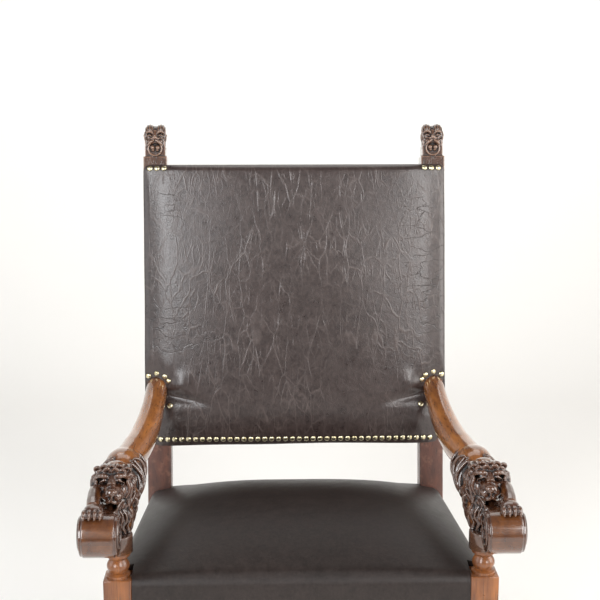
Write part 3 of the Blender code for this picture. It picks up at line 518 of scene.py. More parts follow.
def lathe(name, profile, finish):
    """A round shape from (radius, height) pairs, from the top down."""
    bm = bmesh.new()
    points = [(0.0, profile[0][1])] + profile + [(0.0, profile[-1][1])]
    row = [bm.verts.new((radius, 0, height)) for radius, height in points]
    edges = [bm.edges.new(pair) for pair in zip(row, row[1:])]
    bmesh.ops.spin(bm, geom=row + edges, cent=(0, 0, 0), axis=(0, 0, 1), dvec=(0, 0, 0),
                   angle=2 * math.pi, steps=TURNED_STEPS, use_merge=True, use_duplicate=False)
    bmesh.ops.remove_doubles(bm, verts=bm.verts, dist=MERGE)
    bmesh.ops.recalc_face_normals(bm, faces=bm.faces)
    return object_from(name, bm, finish)


def swell(low_radius, high_radius, bottom, top, steps=18):
    """A bulging stretch of a profile, from the top down."""
    pairs = []
    for i in range(steps + 1):
        share = i / steps
        radius = low_radius + (high_radius - low_radius) * math.sin(math.pi * share)
        pairs.append((radius, top + (bottom - top) * share))
    return pairs


def bead(neck, radius, bottom, top, steps=8):
    """A half-round ring on a profile, from the top down."""
    pairs = []
    for i in range(steps + 1):
        turn = math.pi * i / steps
        pairs.append((neck + (radius - neck) * math.sin(turn) ** 0.7,
                      (top + bottom) / 2 + (top - bottom) / 2 * math.cos(turn)))
    return pairs


def soft_block(low, high, finish, chamfer=BLOCK_CHAMFER):
    """A square block with its edges eased."""
    low = Vector(low)
    high = Vector(high)
    bm = bmesh.new()
    bmesh.ops.create_cube(bm, size=1.0)
    bmesh.ops.scale(bm, vec=high - low, verts=bm.verts)
    bmesh.ops.translate(bm, vec=(high + low) / 2, verts=bm.verts)
    bmesh.ops.bevel(bm, geom=bm.edges[:], offset=chamfer, offset_type="OFFSET", affect="EDGES",
                    segments=3, profile=0.5, material=-1)
    return object_from("block", bm, finish)


def block_heights():
    """(bottom, top) of the front posts' lower and upper block."""
    lower = (STRETCHER_Z - STRETCHER_BLOCK_HEIGHT / 2, STRETCHER_Z + STRETCHER_BLOCK_HEIGHT / 2)
    upper = (SEAT_RAIL_BOTTOM - BLOCK_MARGIN, SEAT_RAIL_TOP + BLOCK_MARGIN)
    return lower, upper


def front_post(finish):
    """The right front post: bun foot, turned leg, two blocks and the arm's support."""
    lower, upper = block_heights()
    neck = LEG_NECK_RADIUS
    rise = ARM_SUPPORT_TOP - upper[1]
    profile = [(SUPPORT_RADIUS, ARM_SUPPORT_TOP), (SUPPORT_RADIUS, ARM_SUPPORT_TOP - rise * 0.16)]
    profile += swell(neck, SUPPORT_RADIUS * 0.94, upper[1] + rise * 0.16,
                     ARM_SUPPORT_TOP - rise * 0.30)
    profile += [(SUPPORT_RADIUS, upper[1] + rise * 0.10), (SUPPORT_RADIUS, upper[1] - 0.004)]
    length = upper[0] - lower[1]
    top = upper[0]
    profile += [(LEG_RADIUS, top + 0.004)]
    profile += bead(neck, LEG_RADIUS, top - length * 0.08, top - length * 0.01)
    profile += swell(neck, LEG_RADIUS, lower[1] + length * 0.22, top - length * 0.12, 26)
    profile += bead(neck, LEG_RADIUS * 0.90, lower[1] + length * 0.13, lower[1] + length * 0.19)
    profile += bead(neck, LEG_RADIUS, lower[1] + length * 0.01, lower[1] + length * 0.09)
    profile += [(LEG_RADIUS, lower[1] - 0.004), (LEG_RADIUS, lower[0] + 0.004)]
    drop = lower[0] - FOOT_HEIGHT
    profile += bead(neck, LEG_RADIUS, lower[0] - drop * 0.16, lower[0] - drop * 0.01)
    profile += swell(neck, LEG_RADIUS * 0.95, FOOT_HEIGHT + drop * 0.06, lower[0] - drop * 0.26)
    profile += [(FOOT_RADIUS * 0.70, FOOT_HEIGHT)]
    for i in range(1, 12):
        turn = math.pi * (0.16 + 0.66 * i / 12)
        profile.append((FOOT_RADIUS * math.sin(turn) ** 0.8,
                        FOOT_HEIGHT * (0.5 + 0.5 * math.cos(turn) / math.cos(math.pi * 0.16))))
    profile += [(FOOT_RADIUS * 0.76, 0.0)]
    post = lathe("front_post_right", profile, finish)
    post.data.transform(Matrix.Translation((FRONT_POST_X, FRONT_POST_Y, 0)))
    for bottom, top in (lower, upper):
        low = (FRONT_POST_X - POST_HALF, FRONT_POST_Y - POST_HALF, bottom)
        high = (FRONT_POST_X + POST_HALF, FRONT_POST_Y + POST_HALF, top)
        joined(post, soft_block(low, high, finish))
    post.data.shade_smooth()
    post.data.set_sharp_from_angle(angle=math.radians(35))
    return post


def stretcher(name, start, end, middle_block, finish):
    """A turned stretcher with two long swells and a block or a ring in the middle."""
    length = (Vector(end) - Vector(start)).length
    half = length / 2
    near = STRETCHER_BLOCK_LENGTH / 2
    profile = [(STRETCHER_RADIUS * 0.8, length), (STRETCHER_RADIUS * 0.8, length - 0.006)]
    profile += swell(STRETCHER_NECK_RADIUS, STRETCHER_RADIUS, half + near, length - STRETCHER_END)
    profile += bead(STRETCHER_NECK_RADIUS, STRETCHER_RADIUS, half, half + near * 0.8)
    profile += bead(STRETCHER_NECK_RADIUS, STRETCHER_RADIUS, half - near * 0.8, half - 0.0005)
    profile += swell(STRETCHER_NECK_RADIUS, STRETCHER_RADIUS, STRETCHER_END, half - near)
    profile += [(STRETCHER_RADIUS * 0.8, 0.006), (STRETCHER_RADIUS * 0.8, 0.0)]
    bar = lathe(name, profile, finish)
    if middle_block:
        side = STRETCHER_BLOCK / 2
        joined(bar, soft_block((-side, -side, half - near), (side, side, half + near), finish))
    bar.data.transform(oriented(start, end))
    bar.data.shade_smooth()
    bar.data.set_sharp_from_angle(angle=math.radians(35))
    return bar


def side_axis():
    """The side stretcher's axis, from the middle of the front post to the middle of the rear post."""
    start = Vector((FRONT_POST_X, FRONT_POST_Y, STRETCHER_Z))
    end = Vector((STILE_X, rear_leg_centre(STRETCHER_Z), STRETCHER_Z))
    return start, end


def make_turned_pieces(finish):
    """The front posts and the three stretchers."""
    post = front_post(finish)
    stand_for(post, "right_front_post")
    stand_for(mirrored(post, "front_post_left"), "left_front_post")
    start, end = side_axis()
    along = (end - start).normalized()
    bar = stretcher("stretcher_right", start + along * POST_HALF, end - along * POST_HALF * 0.9,
                    True, finish)
    stand_for(bar, "right_stretcher")
    stand_for(mirrored(bar, "stretcher_left"), "left_stretcher")
    middle = (start + end) / 2
    reach = middle.x - STRETCHER_BLOCK / 2
    cross = stretcher("stretcher_across", Vector((-reach, middle.y, middle.z)),
                      Vector((reach, middle.y, middle.z)), False, finish)
    stand_for(cross, "cross_stretcher")


# Carving

def add_ball(bm, centre, radii):
    """A round lump; carved forms are lumps and locks, fused."""
    place = Matrix.Translation(centre) @ Matrix.Diagonal((*radii, 1.0))
    bmesh.ops.create_uvsphere(bm, u_segments=32, v_segments=20, radius=1.0, matrix=place)


def add_locks(bm, locks, size, fineness=3):
    """Tapering strands, each a list of (point, radius)."""
    curve = bpy.data.curves.new("locks", "CURVE")
    curve.dimensions = "3D"
    curve.bevel_depth = size
    curve.bevel_resolution = fineness
    curve.resolution_u = 3 * fineness
    curve.render_resolution_u = 3 * fineness
    curve.use_fill_caps = True
    for lock in locks:
        spline = curve.splines.new("BEZIER")
        spline.bezier_points.add(len(lock) - 1)
        for knot, (point, radius) in zip(spline.bezier_points, lock):
            knot.co = Vector(point) * size
            knot.radius = radius
            knot.handle_left_type = "AUTO"
            knot.handle_right_type = "AUTO"
    guide = bpy.data.objects.new("locks", curve)
    bpy.context.scene.collection.objects.link(guide)
    bpy.context.view_layer.update()
    graph = bpy.context.evaluated_depsgraph_get()
    bm.from_mesh(bpy.data.meshes.new_from_object(guide.evaluated_get(graph)))
    bpy.data.objects.remove(guide, do_unlink=True)
    bmesh.ops.remove_doubles(bm, verts=bm.verts, dist=MERGE)


def through(points, steps):
    """Points along a smooth curve through (point, radius) knots."""
    knots = [(Vector(point), radius) for point, radius in points]
    knots = [knots[0]] + knots + [knots[-1]]
    out = []
    spans = len(knots) - 3
    for i in range(steps + 1):
        place = spans * i / steps
        span = min(int(place), spans - 1)
        t = place - span
        a, b, c, d = knots[span:span + 4]
        weights = (
            -0.5 * t ** 3 + t * t - 0.5 * t, 1.5 * t ** 3 - 2.5 * t * t + 1.0,
            -1.5 * t ** 3 + 2.0 * t * t + 0.5 * t, 0.5 * t ** 3 - 0.5 * t * t,
        )
        point = a[0] * weights[0] + b[0] * weights[1] + c[0] * weights[2] + d[0] * weights[3]
        out.append((point, b[1] + (c[1] - b[1]) * t))
    return out


def twisted(lock, strands=3, turns=0.7, start=0.0):
    """A lock of hair as a few strands that wind round its path."""
    path = through(lock, 9)
    made = []
    for k in range(strands):
        strand = []
        for i, (point, radius) in enumerate(path):
            ahead = path[min(i + 1, len(path) - 1)][0] - path[max(i - 1, 0)][0]
            ahead.normalize()
            side = ahead.orthogonal().normalized()
            across = ahead.cross(side)
            turn = start + 2 * math.pi * (k / strands + turns * i / len(path))
            taper = 1.0 - 0.5 * i / len(path)
            shift = (side * math.cos(turn) + across * math.sin(turn)) * radius * 0.62 * taper
            strand.append((point + shift, radius * 0.52 * (0.55 + 0.45 * taper)))
        made.append(strand)
    return made


def mirrored_lock(lock, middle, side):
    """A strand drawn beside a middle line, on that side or the other."""
    return [((middle + x * side, y, z), radius) for (x, y, z), radius in lock]


def press(mesh, dents, size):
    """Move what lies in each ellipsoid along its push, out to the ellipsoid's far side."""
    count = len(mesh.vertices)
    where = np.empty(count * 3)
    mesh.vertices.foreach_get("co", where)
    where = where.reshape(-1, 3)
    for centre, radii, push in dents:
        centre = np.array(centre) * size
        radii = np.array(radii) * size
        push = np.array(push, float) / np.linalg.norm(push)
        step = push / radii
        inside = (where - centre) / radii
        a = step @ step
        b = inside @ step
        c = np.einsum("ij,ij->i", inside, inside) - 1.0
        hit = c < 0
        where[hit] += push * ((-b[hit] + np.sqrt(b[hit] ** 2 - a * c[hit])) / a)[:, None]
    mesh.vertices.foreach_set("co", where.ravel())
    mesh.update()


def fused(name, bm, voxel, smoothing, finish):
    """Fuse overlapping forms into one skin."""
    obj = object_from(name, bm, None)
    remesh = obj.modifiers.new("fuse", "REMESH")
    remesh.mode = "VOXEL"
    remesh.voxel_size = voxel
    smooth = obj.modifiers.new("smooth", "SMOOTH")
    smooth.factor = 0.5
    smooth.iterations = smoothing
    settle(obj)
    obj.data.materials.append(finish)
    return obj


def softened(obj, rounds):
    """A little smoothing after dents are pressed in."""
    smooth = obj.modifiers.new("smooth", "SMOOTH")
    smooth.factor = 0.5
    smooth.iterations = rounds
    return settle(obj)


def lion_origin():
    """The middle of the arm's seat on its post."""
    return Vector((FRONT_POST_X, FRONT_POST_Y, ARM_SUPPORT_TOP))


def arm_route():
    """The arm's centre line from the stile to the lion's rump, as (point, radius)."""
    rump = lion_origin() + Vector((0.02, 1.28, 1.03)) * LION_SIZE
    joint = Vector((STILE_X + ARM_JOINT_OFFSET, 0.0, ARM_JOINT_Z))
    joint.y = stile_front_y(ARM_JOINT_Z) + ARM_JOINT_INSET
    radii = (ARM_REAR_RADIUS, ARM_REAR_RADIUS + 0.001, ARM_FRONT_RADIUS,
             ARM_FRONT_RADIUS + 0.0025, ARM_FRONT_RADIUS + 0.0015)
    drops = (0.0, 0.42, 0.80, 0.99, 1.0)
    route = []
    for i, radius in enumerate(radii):
        share = i / (len(radii) - 1)
        point = joint.lerp(rump, share)
        point.x = joint.x + (rump.x - joint.x) * share ** ARM_FLARE
        point.z = joint.z + (rump.z - joint.z) * drops[i]
        route.append((point, radius))
    return route


FACE_X = 0.065


def lion_masses():
    """The head's and the paw's masses as (centre, radii), in tenths of a metre from the arm's seat."""
    balls = [
        ((0.04, 0.44, 1.09), (0.27, 0.31, 0.29)),
        ((0.045, -0.01, 1.06), (0.150, 0.23, 0.140)),
        ((0.045, -0.225, 1.095), (0.100, 0.070, 0.058)),
        ((0.05, 0.14, 0.80), (0.10, 0.10, 0.055)),
        ((0.29, -0.60, 0.93), (0.155, 0.17, 0.10)),
    ]
    for side in (1, -1):
        balls += [
            ((FACE_X + 0.185 * side, 0.15, 1.00), (0.095, 0.17, 0.16)),
            ((0.045 + 0.078 * side, -0.150, 1.000), (0.088, 0.090, 0.082)),
        ]
    for toe in range(4):
        x = 0.29 + 0.086 * (toe - 1.5)
        balls.append(((x, -0.74, 0.925), (0.046, 0.100, 0.068)))
        balls.append(((x, -0.80, 0.900), (0.038, 0.045, 0.052)))
    return balls


def face_locks():
    """Brows, eyelids, bridge, nostril wings, lips and cheek folds."""
    locks = [
        [((0.06, 0.16, 1.34), 0.075), ((0.055, 0.00, 1.26), 0.058), ((0.048, -0.15, 1.17), 0.078)],
        [((0.045, -0.275, 1.06), 0.020), ((0.045, -0.262, 0.98), 0.020), ((0.045, -0.20, 0.925), 0.018)],
    ]
    shapes = [
        [((0.01, 0.00, 1.245), 0.030), ((0.13, -0.035, 1.300), 0.042), ((0.27, 0.08, 1.215), 0.034),
         ((0.295, 0.10, 1.10), 0.022)],
        [((0.05, -0.02, 1.205), 0.014), ((0.12, -0.045, 1.225), 0.018), ((0.205, 0.00, 1.155), 0.014)],
        [((0.05, -0.02, 1.175), 0.013), ((0.12, -0.035, 1.120), 0.018), ((0.205, 0.00, 1.135), 0.012)],
        [((-0.02, -0.278, 1.085), 0.026), ((0.045, -0.250, 1.060), 0.036), ((0.075, -0.17, 1.085), 0.022)],
        [((0.06, -0.09, 1.13), 0.026), ((0.150, -0.04, 1.04), 0.034), ((0.165, -0.01, 0.91), 0.028)],
        [((-0.03, -0.255, 0.960), 0.020), ((0.055, -0.225, 0.915), 0.028), ((0.130, -0.10, 0.87), 0.022)],
        [((0.245, 0.05, 1.19), 0.024), ((0.275, 0.04, 1.05), 0.034), ((0.215, 0.01, 0.90), 0.028)],
    ]
    for side in (1, -1):
        for shape in shapes:
            locks.append(mirrored_lock(shape, FACE_X, side))
    return locks


def mane_locks():
    """The curling locks on the brow, round the face, down the inner side and the flank."""
    locks = []
    brow = (
        (-0.115, 0.03, 1.330), (0.010, 0.00, 1.365), (0.130, 0.00, 1.365), (0.245, 0.04, 1.320),
        (-0.185, 0.15, 1.325), (-0.060, 0.12, 1.375), (0.070, 0.11, 1.385), (0.195, 0.13, 1.365),
        (0.310, 0.18, 1.330), (0.350, 0.13, 1.210), (-0.215, 0.12, 1.230),
    )
    for i, centre in enumerate(brow):
        sense = 1 if centre[0] < FACE_X else -1
        locks.append(curled(centre, 0.060, 0.025, 1.2 * i, sense, 1.4, -0.4))
    for i in range(7):
        lean = (i - 3) / 3
        lock = [((FACE_X + 0.17 * lean, 0.80, 1.15), 0.055),
                ((FACE_X + 0.22 * lean, 0.55, 1.27 - 0.04 * lean ** 2), 0.066),
                ((FACE_X + 0.23 * lean, 0.34, 1.33 - 0.06 * lean ** 2), 0.062),
                ((FACE_X + 0.22 * lean, 0.19, 1.36 - 0.07 * lean ** 2), 0.036)]
        locks += twisted(lock, 3, 0.9, i * 1.1)
    for row in range(4):
        back = 0.14 * row
        lock = [((0.14, 0.24 + back, 1.33 - 0.4 * back), 0.058),
                ((0.275, 0.16 + back, 1.22 - 0.3 * back), 0.066),
                ((0.315, 0.12 + back, 1.08), 0.060), ((0.290, 0.10 + back, 0.95), 0.030)]
        locks += twisted(mirrored_lock(lock, FACE_X, 1), 3, 0.6, row * 1.3)
        lock = [((0.16, 0.24 + back, 1.31 - 0.4 * back), 0.058),
                ((0.275, 0.16 + back, 1.18 - 0.3 * back), 0.066),
                ((0.300, 0.10 + back, 1.02), 0.062), ((0.255, 0.06 + back, 0.86), 0.052),
                ((0.275, 0.05 + back, 0.74), 0.026)]
        locks += twisted(mirrored_lock(lock, FACE_X, -1), 3, 0.6, row * 1.3)
    for i in range(4):
        shift = 0.066 * i
        lock = [((-0.215 + 0.6 * shift, 0.34 - shift, 0.98), 0.052),
                ((-0.245 + shift, 0.18 - shift, 0.84), 0.056),
                ((-0.175 + shift, 0.11 - shift, 0.70), 0.052),
                ((-0.225 + shift, 0.08 - shift, 0.56), 0.048),
                ((-0.160 + shift, 0.05 - shift, 0.42), 0.042),
                ((-0.200 + shift, 0.05 - shift, 0.28), 0.034),
                ((-0.160 + shift, 0.06 - shift, 0.16), 0.018)]
        locks += twisted(lock, 3, 1.1, i * 0.9)
    for i in range(5):
        back = 0.165 * i
        lock = [((-0.15, 0.82 + back, 1.20), 0.052), ((-0.295, 0.80 + back, 1.02), 0.064),
                ((-0.330, 0.74 + back, 0.83), 0.056), ((-0.285, 0.66 + back, 0.66), 0.028)]
        locks += twisted(lock, 2, 0.35, i * 0.8)
    for i in range(3):
        lock = [((0.00 + 0.09 * i, 0.10, 0.80), 0.050), ((0.02 + 0.09 * i, 0.03, 0.68), 0.052),
                ((0.00 + 0.09 * i, 0.06, 0.56), 0.026)]
        locks += twisted(lock, 3, 0.5, i)
    return locks


def limb_locks():
    """Foreleg, claws, the flank's lit edge and the scrolls."""
    locks = [
        [((0.26, 0.52, 0.90), 0.150), ((0.305, 0.12, 1.00), 0.138), ((0.330, -0.24, 0.985), 0.112),
         ((0.305, -0.52, 0.935), 0.115)],
        [((-0.20, 0.98, 1.25), 0.022), ((-0.300, 1.06, 1.18), 0.030), ((-0.365, 1.06, 1.00), 0.030),
         ((-0.355, 0.92, 0.78), 0.028), ((-0.270, 0.62, 0.68), 0.026), ((-0.225, 0.50, 0.70), 0.024)],
    ]
    for toe in range(4):
        x = 0.29 + 0.086 * (toe - 1.5)
        locks.append([((x, -0.800, 0.925), 0.026), ((x, -0.850, 0.895), 0.022), ((x, -0.865, 0.855), 0.009)])
    locks.append(curled((-0.215, 0.44, 0.670), 0.085, 0.032, 1.2, 1, 1.7))
    for i in range(3):
        lock = [((-0.24 + 0.03 * i, 0.66 - 0.05 * i, 0.62), 0.036),
                ((-0.27 + 0.03 * i, 0.50 - 0.05 * i, 0.52), 0.044),
                ((-0.22 + 0.03 * i, 0.36 - 0.05 * i, 0.44), 0.030)]
        locks += twisted(lock, 2, 0.4, i)
    for end in (0.515, -0.095):
        spiral = []
        for i in range(30):
            turn = 2 * math.pi * i / 13
            reach = 0.305 * (1.0 - i / 34)
            spiral.append(((end, -0.57 + reach * math.cos(turn), 0.50 + reach * math.sin(turn)),
                           0.030 * (1.0 - 0.4 * i / 30)))
        locks.append(spiral)
    return locks


def lion_dents():
    """Eye sockets, nostrils and mouth: (centre, radii, push)."""
    inward = (0, 1, 0)
    dents = [((0.085, -0.04, 0.79), (0.100, 0.20, 0.075), inward)]
    for side in (1, -1):
        dents.append(((FACE_X + 0.105 * side, -0.07, 1.180), (0.046, 0.13, 0.034), inward))
        dents.append(((FACE_X + 0.160 * side, -0.06, 1.155), (0.046, 0.13, 0.036), inward))
        dents.append(((0.045 + 0.055 * side, -0.310, 1.070), (0.022, 0.050, 0.016), inward))
    return dents


def add_roll(bm, size):
    """The roll under the lion's paw and the pad that sits on the post."""
    turn = Matrix.Rotation(math.pi / 2, 4, "Y")
    place = Matrix.Translation(Vector((0.21, -0.57, 0.50)) * size) @ turn
    for radius, depth in ((0.350, 0.50), (0.330, 0.60)):
        bmesh.ops.create_cone(bm, cap_ends=True, segments=96, radius1=radius * size,
                              radius2=radius * size, depth=depth * size, matrix=place)
    seat = Matrix.Translation(Vector((0, 0, 0.10)) * size)
    bmesh.ops.create_cone(bm, cap_ends=True, segments=64, radius1=0.25 * size,
                          radius2=0.25 * size, depth=0.40 * size, matrix=seat)


def cut_flat(obj, point, normal):
    """Take off what lies past a plane and close the cut."""
    bm = bmesh.new()
    bm.from_mesh(obj.data)
    geometry = bm.verts[:] + bm.edges[:] + bm.faces[:]
    cut = bmesh.ops.bisect_plane(bm, geom=geometry, dist=MERGE, plane_co=point,
                                 plane_no=normal, clear_outer=True)
    rim = [item for item in cut["geom_cut"] if isinstance(item, bmesh.types.BMEdge)]
    bmesh.ops.holes_fill(bm, edges=rim, sides=0)
    bm.to_mesh(obj.data)
    bm.free()
    return obj


def make_arms(finish):
    """The right arm and its lion, and the left one as its mirror image."""
    origin = lion_origin()
    size = LION_SIZE
    shaft = [((point - origin) / size, radius / size) for point, radius in arm_route()]
    rough = bmesh.new()
    for centre, radii in lion_body():
        add_ball(rough, Vector(centre) * size, Vector(radii) * size)
    add_locks(rough, [shaft], size, 12)
    body = fused("body", rough, BODY_VOXEL, 14, finish)
    bm = bmesh.new()
    bm.from_mesh(body.data)
    bpy.data.objects.remove(body, do_unlink=True)
    add_roll(bm, size)
    for centre, radii in lion_masses():
        add_ball(bm, Vector(centre) * size, Vector(radii) * size)
    add_locks(bm, face_locks() + mane_locks() + limb_locks() + side_locks(), size)
    piece = fused("arm_right", bm, ARM_VOXEL, 2, finish)
    press(piece.data, lion_dents(), size)
    softened(piece, 1)
    piece.data.transform(Matrix.Translation(origin))
    cut_flat(piece, origin + Vector((0, 0, GAP)), (0, 0, -1))
    normal = Matrix.Rotation(-BACK_LEAN, 3, "X") @ Vector((0, 1, 0))
    face = Vector((STILE_X, stile_front_y(ARM_JOINT_Z), ARM_JOINT_Z)) - normal * GAP
    cut_flat(piece, face, normal)
    mark_relief(piece, 26, 0.0022)
    thinned(piece, ARM_TRIANGLES)
    piece.data.shade_smooth()
    stand_for(piece, "right_arm")
    twin = mirrored(piece, "arm_left")
    stand_for(twin, "left_arm")


def finial_masses():
    """The mask's lumps, as (centre, radii) in tenths of a metre for a 76 mm finial."""
    balls = [((0, 0.01, 0.40), (0.185, 0.200, 0.30)), ((0, -0.232, 0.452), (0.060, 0.070, 0.048))]
    for side in (1, -1):
        balls += [
            ((0.105 * side, -0.01, 0.630), (0.088, 0.118, 0.078)),
            ((0.110 * side, -0.186, 0.466), (0.046, 0.036, 0.026)),
            ((0.074 * side, -0.212, 0.376), (0.074, 0.058, 0.048)),
            ((0.050 * side, -0.196, 0.262), (0.046, 0.062, 0.048)),
            ((0.044 * side, -0.186, 0.222), (0.038, 0.050, 0.034)),
        ]
    return balls


def ring_of(centre, reach, radius, steps=24):
    """A closed ring standing across the depth."""
    x, y, z = centre
    ring = []
    for i in range(steps + 1):
        turn = 2 * math.pi * i / steps
        ring.append(((x + reach * math.sin(turn), y, z + reach * math.cos(turn)), radius))
    return ring


def finial_locks():
    """The mask's brows, lids, bridge, ring, lips, tufts and side curls."""
    locks = [ring_of((0, -0.228, 0.240), 0.128, 0.017)]
    locks.append([((0, -0.17, 0.58), 0.045), ((0, -0.222, 0.487), 0.040)])
    shapes = [
        [((0.020, -0.205, 0.520), 0.018), ((0.10, -0.225, 0.572), 0.024), ((0.190, -0.155, 0.505), 0.016),
         ((0.200, -0.14, 0.445), 0.013)],
        [((0.055, -0.212, 0.476), 0.010), ((0.11, -0.222, 0.501), 0.012), ((0.165, -0.19, 0.469), 0.009)],
        [((0.055, -0.212, 0.461), 0.009), ((0.11, -0.220, 0.439), 0.010), ((0.165, -0.19, 0.457), 0.008)],
        [((0.01, -0.272, 0.450), 0.018), ((0.055, -0.255, 0.432), 0.024), ((0.085, -0.22, 0.450), 0.014)],
        [((0.012, -0.262, 0.408), 0.020), ((0.08, -0.255, 0.366), 0.030), ((0.145, -0.21, 0.300), 0.020)],
        [((0.150, -0.175, 0.42), 0.026), ((0.172, -0.175, 0.36), 0.028), ((0.166, -0.18, 0.29), 0.020)],
    ]
    for side in (1, -1):
        for shape in shapes:
            locks.append(mirrored_lock(shape, 0.0, side))
        for row in range(4):
            out = 0.176 - 0.006 * row
            depth = -0.165 + 0.105 * row
            lock = [((out, depth, 0.58), 0.024), ((out + 0.010, depth - 0.02, 0.47), 0.030),
                    ((out - 0.006, depth + 0.01, 0.36), 0.030), ((out + 0.008, depth, 0.25), 0.028),
                    ((out - 0.004, depth, 0.16), 0.014)]
            locks += twisted(mirrored_lock(lock, 0.0, side), 2, 0.7, row)
        for k in range(5):
            turn = math.radians(-70 + 35 * k)
            across = 0.105 + 0.074 * math.sin(turn)
            rise = 0.625 + 0.078 * math.cos(turn)
            locks.append(mirrored_lock([((across, -0.150, 0.560 + 0.02 * math.cos(turn)), 0.016),
                                        ((across, -0.120, rise - 0.045), 0.022),
                                        ((across, -0.050, rise), 0.024),
                                        ((across, 0.050, rise - 0.01), 0.022),
                                        ((across, 0.120, 0.600), 0.016)],
                                       0.0, side))
        locks.append(curled((0.196 * side, -0.13, 0.500), 0.032, 0.013, 1.5, side, 1.3))
    return locks


def finial_dents():
    """The mask's mouth, eye sockets and nostrils: (centre, radii, push)."""
    inward = (0, 1, 0)
    dents = [((0, -0.245, 0.322), (0.036, 0.050, 0.016), inward)]
    for side in (1, -1):
        dents.append(((0.058 * side, -0.262, 0.469), (0.022, 0.044, 0.018), inward))
        dents.append(((0.160 * side, -0.232, 0.459), (0.018, 0.044, 0.014), inward))
        dents.append(((0.024 * side, -0.325, 0.434), (0.012, 0.030, 0.010), inward))
    return dents


def finial_place():
    """Where the mask's own frame stands: on the stile, leaning as it does."""
    foot = Vector((STILE_X + 2 * FINIAL_OUTSET, 0.0, BACK_TOP_Z))
    foot.y = stile_front_y(BACK_TOP_Z) + STILE_DEPTH / math.cos(BACK_LEAN) / 2
    return Matrix.Translation(foot) @ Matrix.Rotation(-BACK_LEAN, 4, "X")


def post_stick(finish):
    """The right rear post's square stick, its edges eased."""
    depth = STILE_DEPTH / math.cos(BACK_LEAN)
    steps = 14
    sections = []
    for i in range(steps + 1):
        share = i / steps
        taper = REAR_FOOT_SIDE + (STILE_WIDTH - REAR_FOOT_SIDE) * share
        thick = REAR_FOOT_SIDE + (depth - REAR_FOOT_SIDE) * share
        sections.append((rear_leg_centre(KNEE_Z * share), KNEE_Z * share, taper, thick))
    for i in range(1, 7):
        z = KNEE_Z + (BACK_TOP_Z - BACK_ROUNDING - KNEE_Z) * i / 6
        sections.append((stile_front_y(z) + depth / 2, z, STILE_WIDTH, depth))
    bm = bmesh.new()
    corners = ((-1, -1), (1, -1), (1, 1), (-1, 1))
    y, z, width, thick = sections[0]
    ring = [bm.verts.new((STILE_X + i * width / 2, y + j * thick / 2, z)) for i, j in corners]
    bm.faces.new(list(reversed(ring)))
    top = [bm.edges.get((ring[i], ring[(i + 1) % 4])) for i in range(4)]
    long_edges = []
    for y, z, width, thick in sections[1:]:
        made = bmesh.ops.extrude_edge_only(bm, edges=top)
        new = [item for item in made["geom"] if isinstance(item, bmesh.types.BMVert)]
        middle = sum((v.co for v in new), Vector()) / 4
        for v in new:
            side_x = 1 if v.co.x > middle.x else -1
            side_y = 1 if v.co.y > middle.y else -1
            v.co = (STILE_X + side_x * width / 2, y + side_y * thick / 2, z)
        fresh = set(new)
        top = [e for e in made["geom"] if isinstance(e, bmesh.types.BMEdge)
               and e.verts[0] in fresh and e.verts[1] in fresh]
        long_edges += [e for v in new for e in v.link_edges if len(fresh & set(e.verts)) == 1]
    bmesh.ops.holes_fill(bm, edges=top, sides=0)
    bmesh.ops.recalc_face_normals(bm, faces=bm.faces)
    bmesh.ops.bevel(bm, geom=list(set(long_edges)), offset=POST_CHAMFER, offset_type="OFFSET",
                    affect="EDGES", segments=3, profile=0.5, material=-1)
    return object_from("rear_post_right", bm, finish)


def make_rear_posts(finish, mask_finish):
    """The rear posts: leg and stile, with the lion mask carved on top."""
    size = 0.1 * FINIAL_HEIGHT / 0.076
    bm = bmesh.new()
    for centre, radii in finial_masses():
        add_ball(bm, Vector(centre) * size, Vector(radii) * size)
    add_locks(bm, finial_locks(), size)
    half = FINIAL_WIDTH / 2 / size
    for wide, low, high in ((half * 0.98, -0.20, 0.30), (half * 1.13, -0.20, 0.095)):
        cube = bmesh.ops.create_cube(bm, size=2.0)
        for v in cube["verts"]:
            v.co = Vector((v.co.x * wide * size, v.co.y * wide * size,
                           (low if v.co.z < 0 else high) * size))
    mask = fused("mask", bm, FINIAL_VOXEL, 2, mask_finish)
    press(mask.data, finial_dents(), size)
    softened(mask, 1)
    mark_relief(mask, 30, 0.0009)
    mask.data.transform(finial_place())
    post = post_stick(finish)
    post.data.attributes.new("relief", "FLOAT", "POINT")
    with bpy.context.temp_override(active_object=post, selected_editable_objects=[post, mask],
                                   object=post, selected_objects=[post, mask]):
        bpy.ops.object.join()
    post.data.shade_smooth()
    post.data.set_sharp_from_angle(angle=math.radians(50))
    stand_for(post, "right_rear_post")
    twin = mirrored(post, "rear_post_left")
    twin.data.set_sharp_from_angle(angle=math.radians(50))
    stand_for(twin, "left_rear_post")


# Leather

def spaced(low, high, edge, edge_steps, steps):
    """Stations from low to high, closer together near each end."""
    near = [low + edge * i / edge_steps for i in range(edge_steps)]
    inner = [low + edge + (high - low - 2 * edge) * i / steps for i in range(steps)]
    far = [high - edge + edge * i / edge_steps for i in range(edge_steps + 1)]
    return near + inner + far


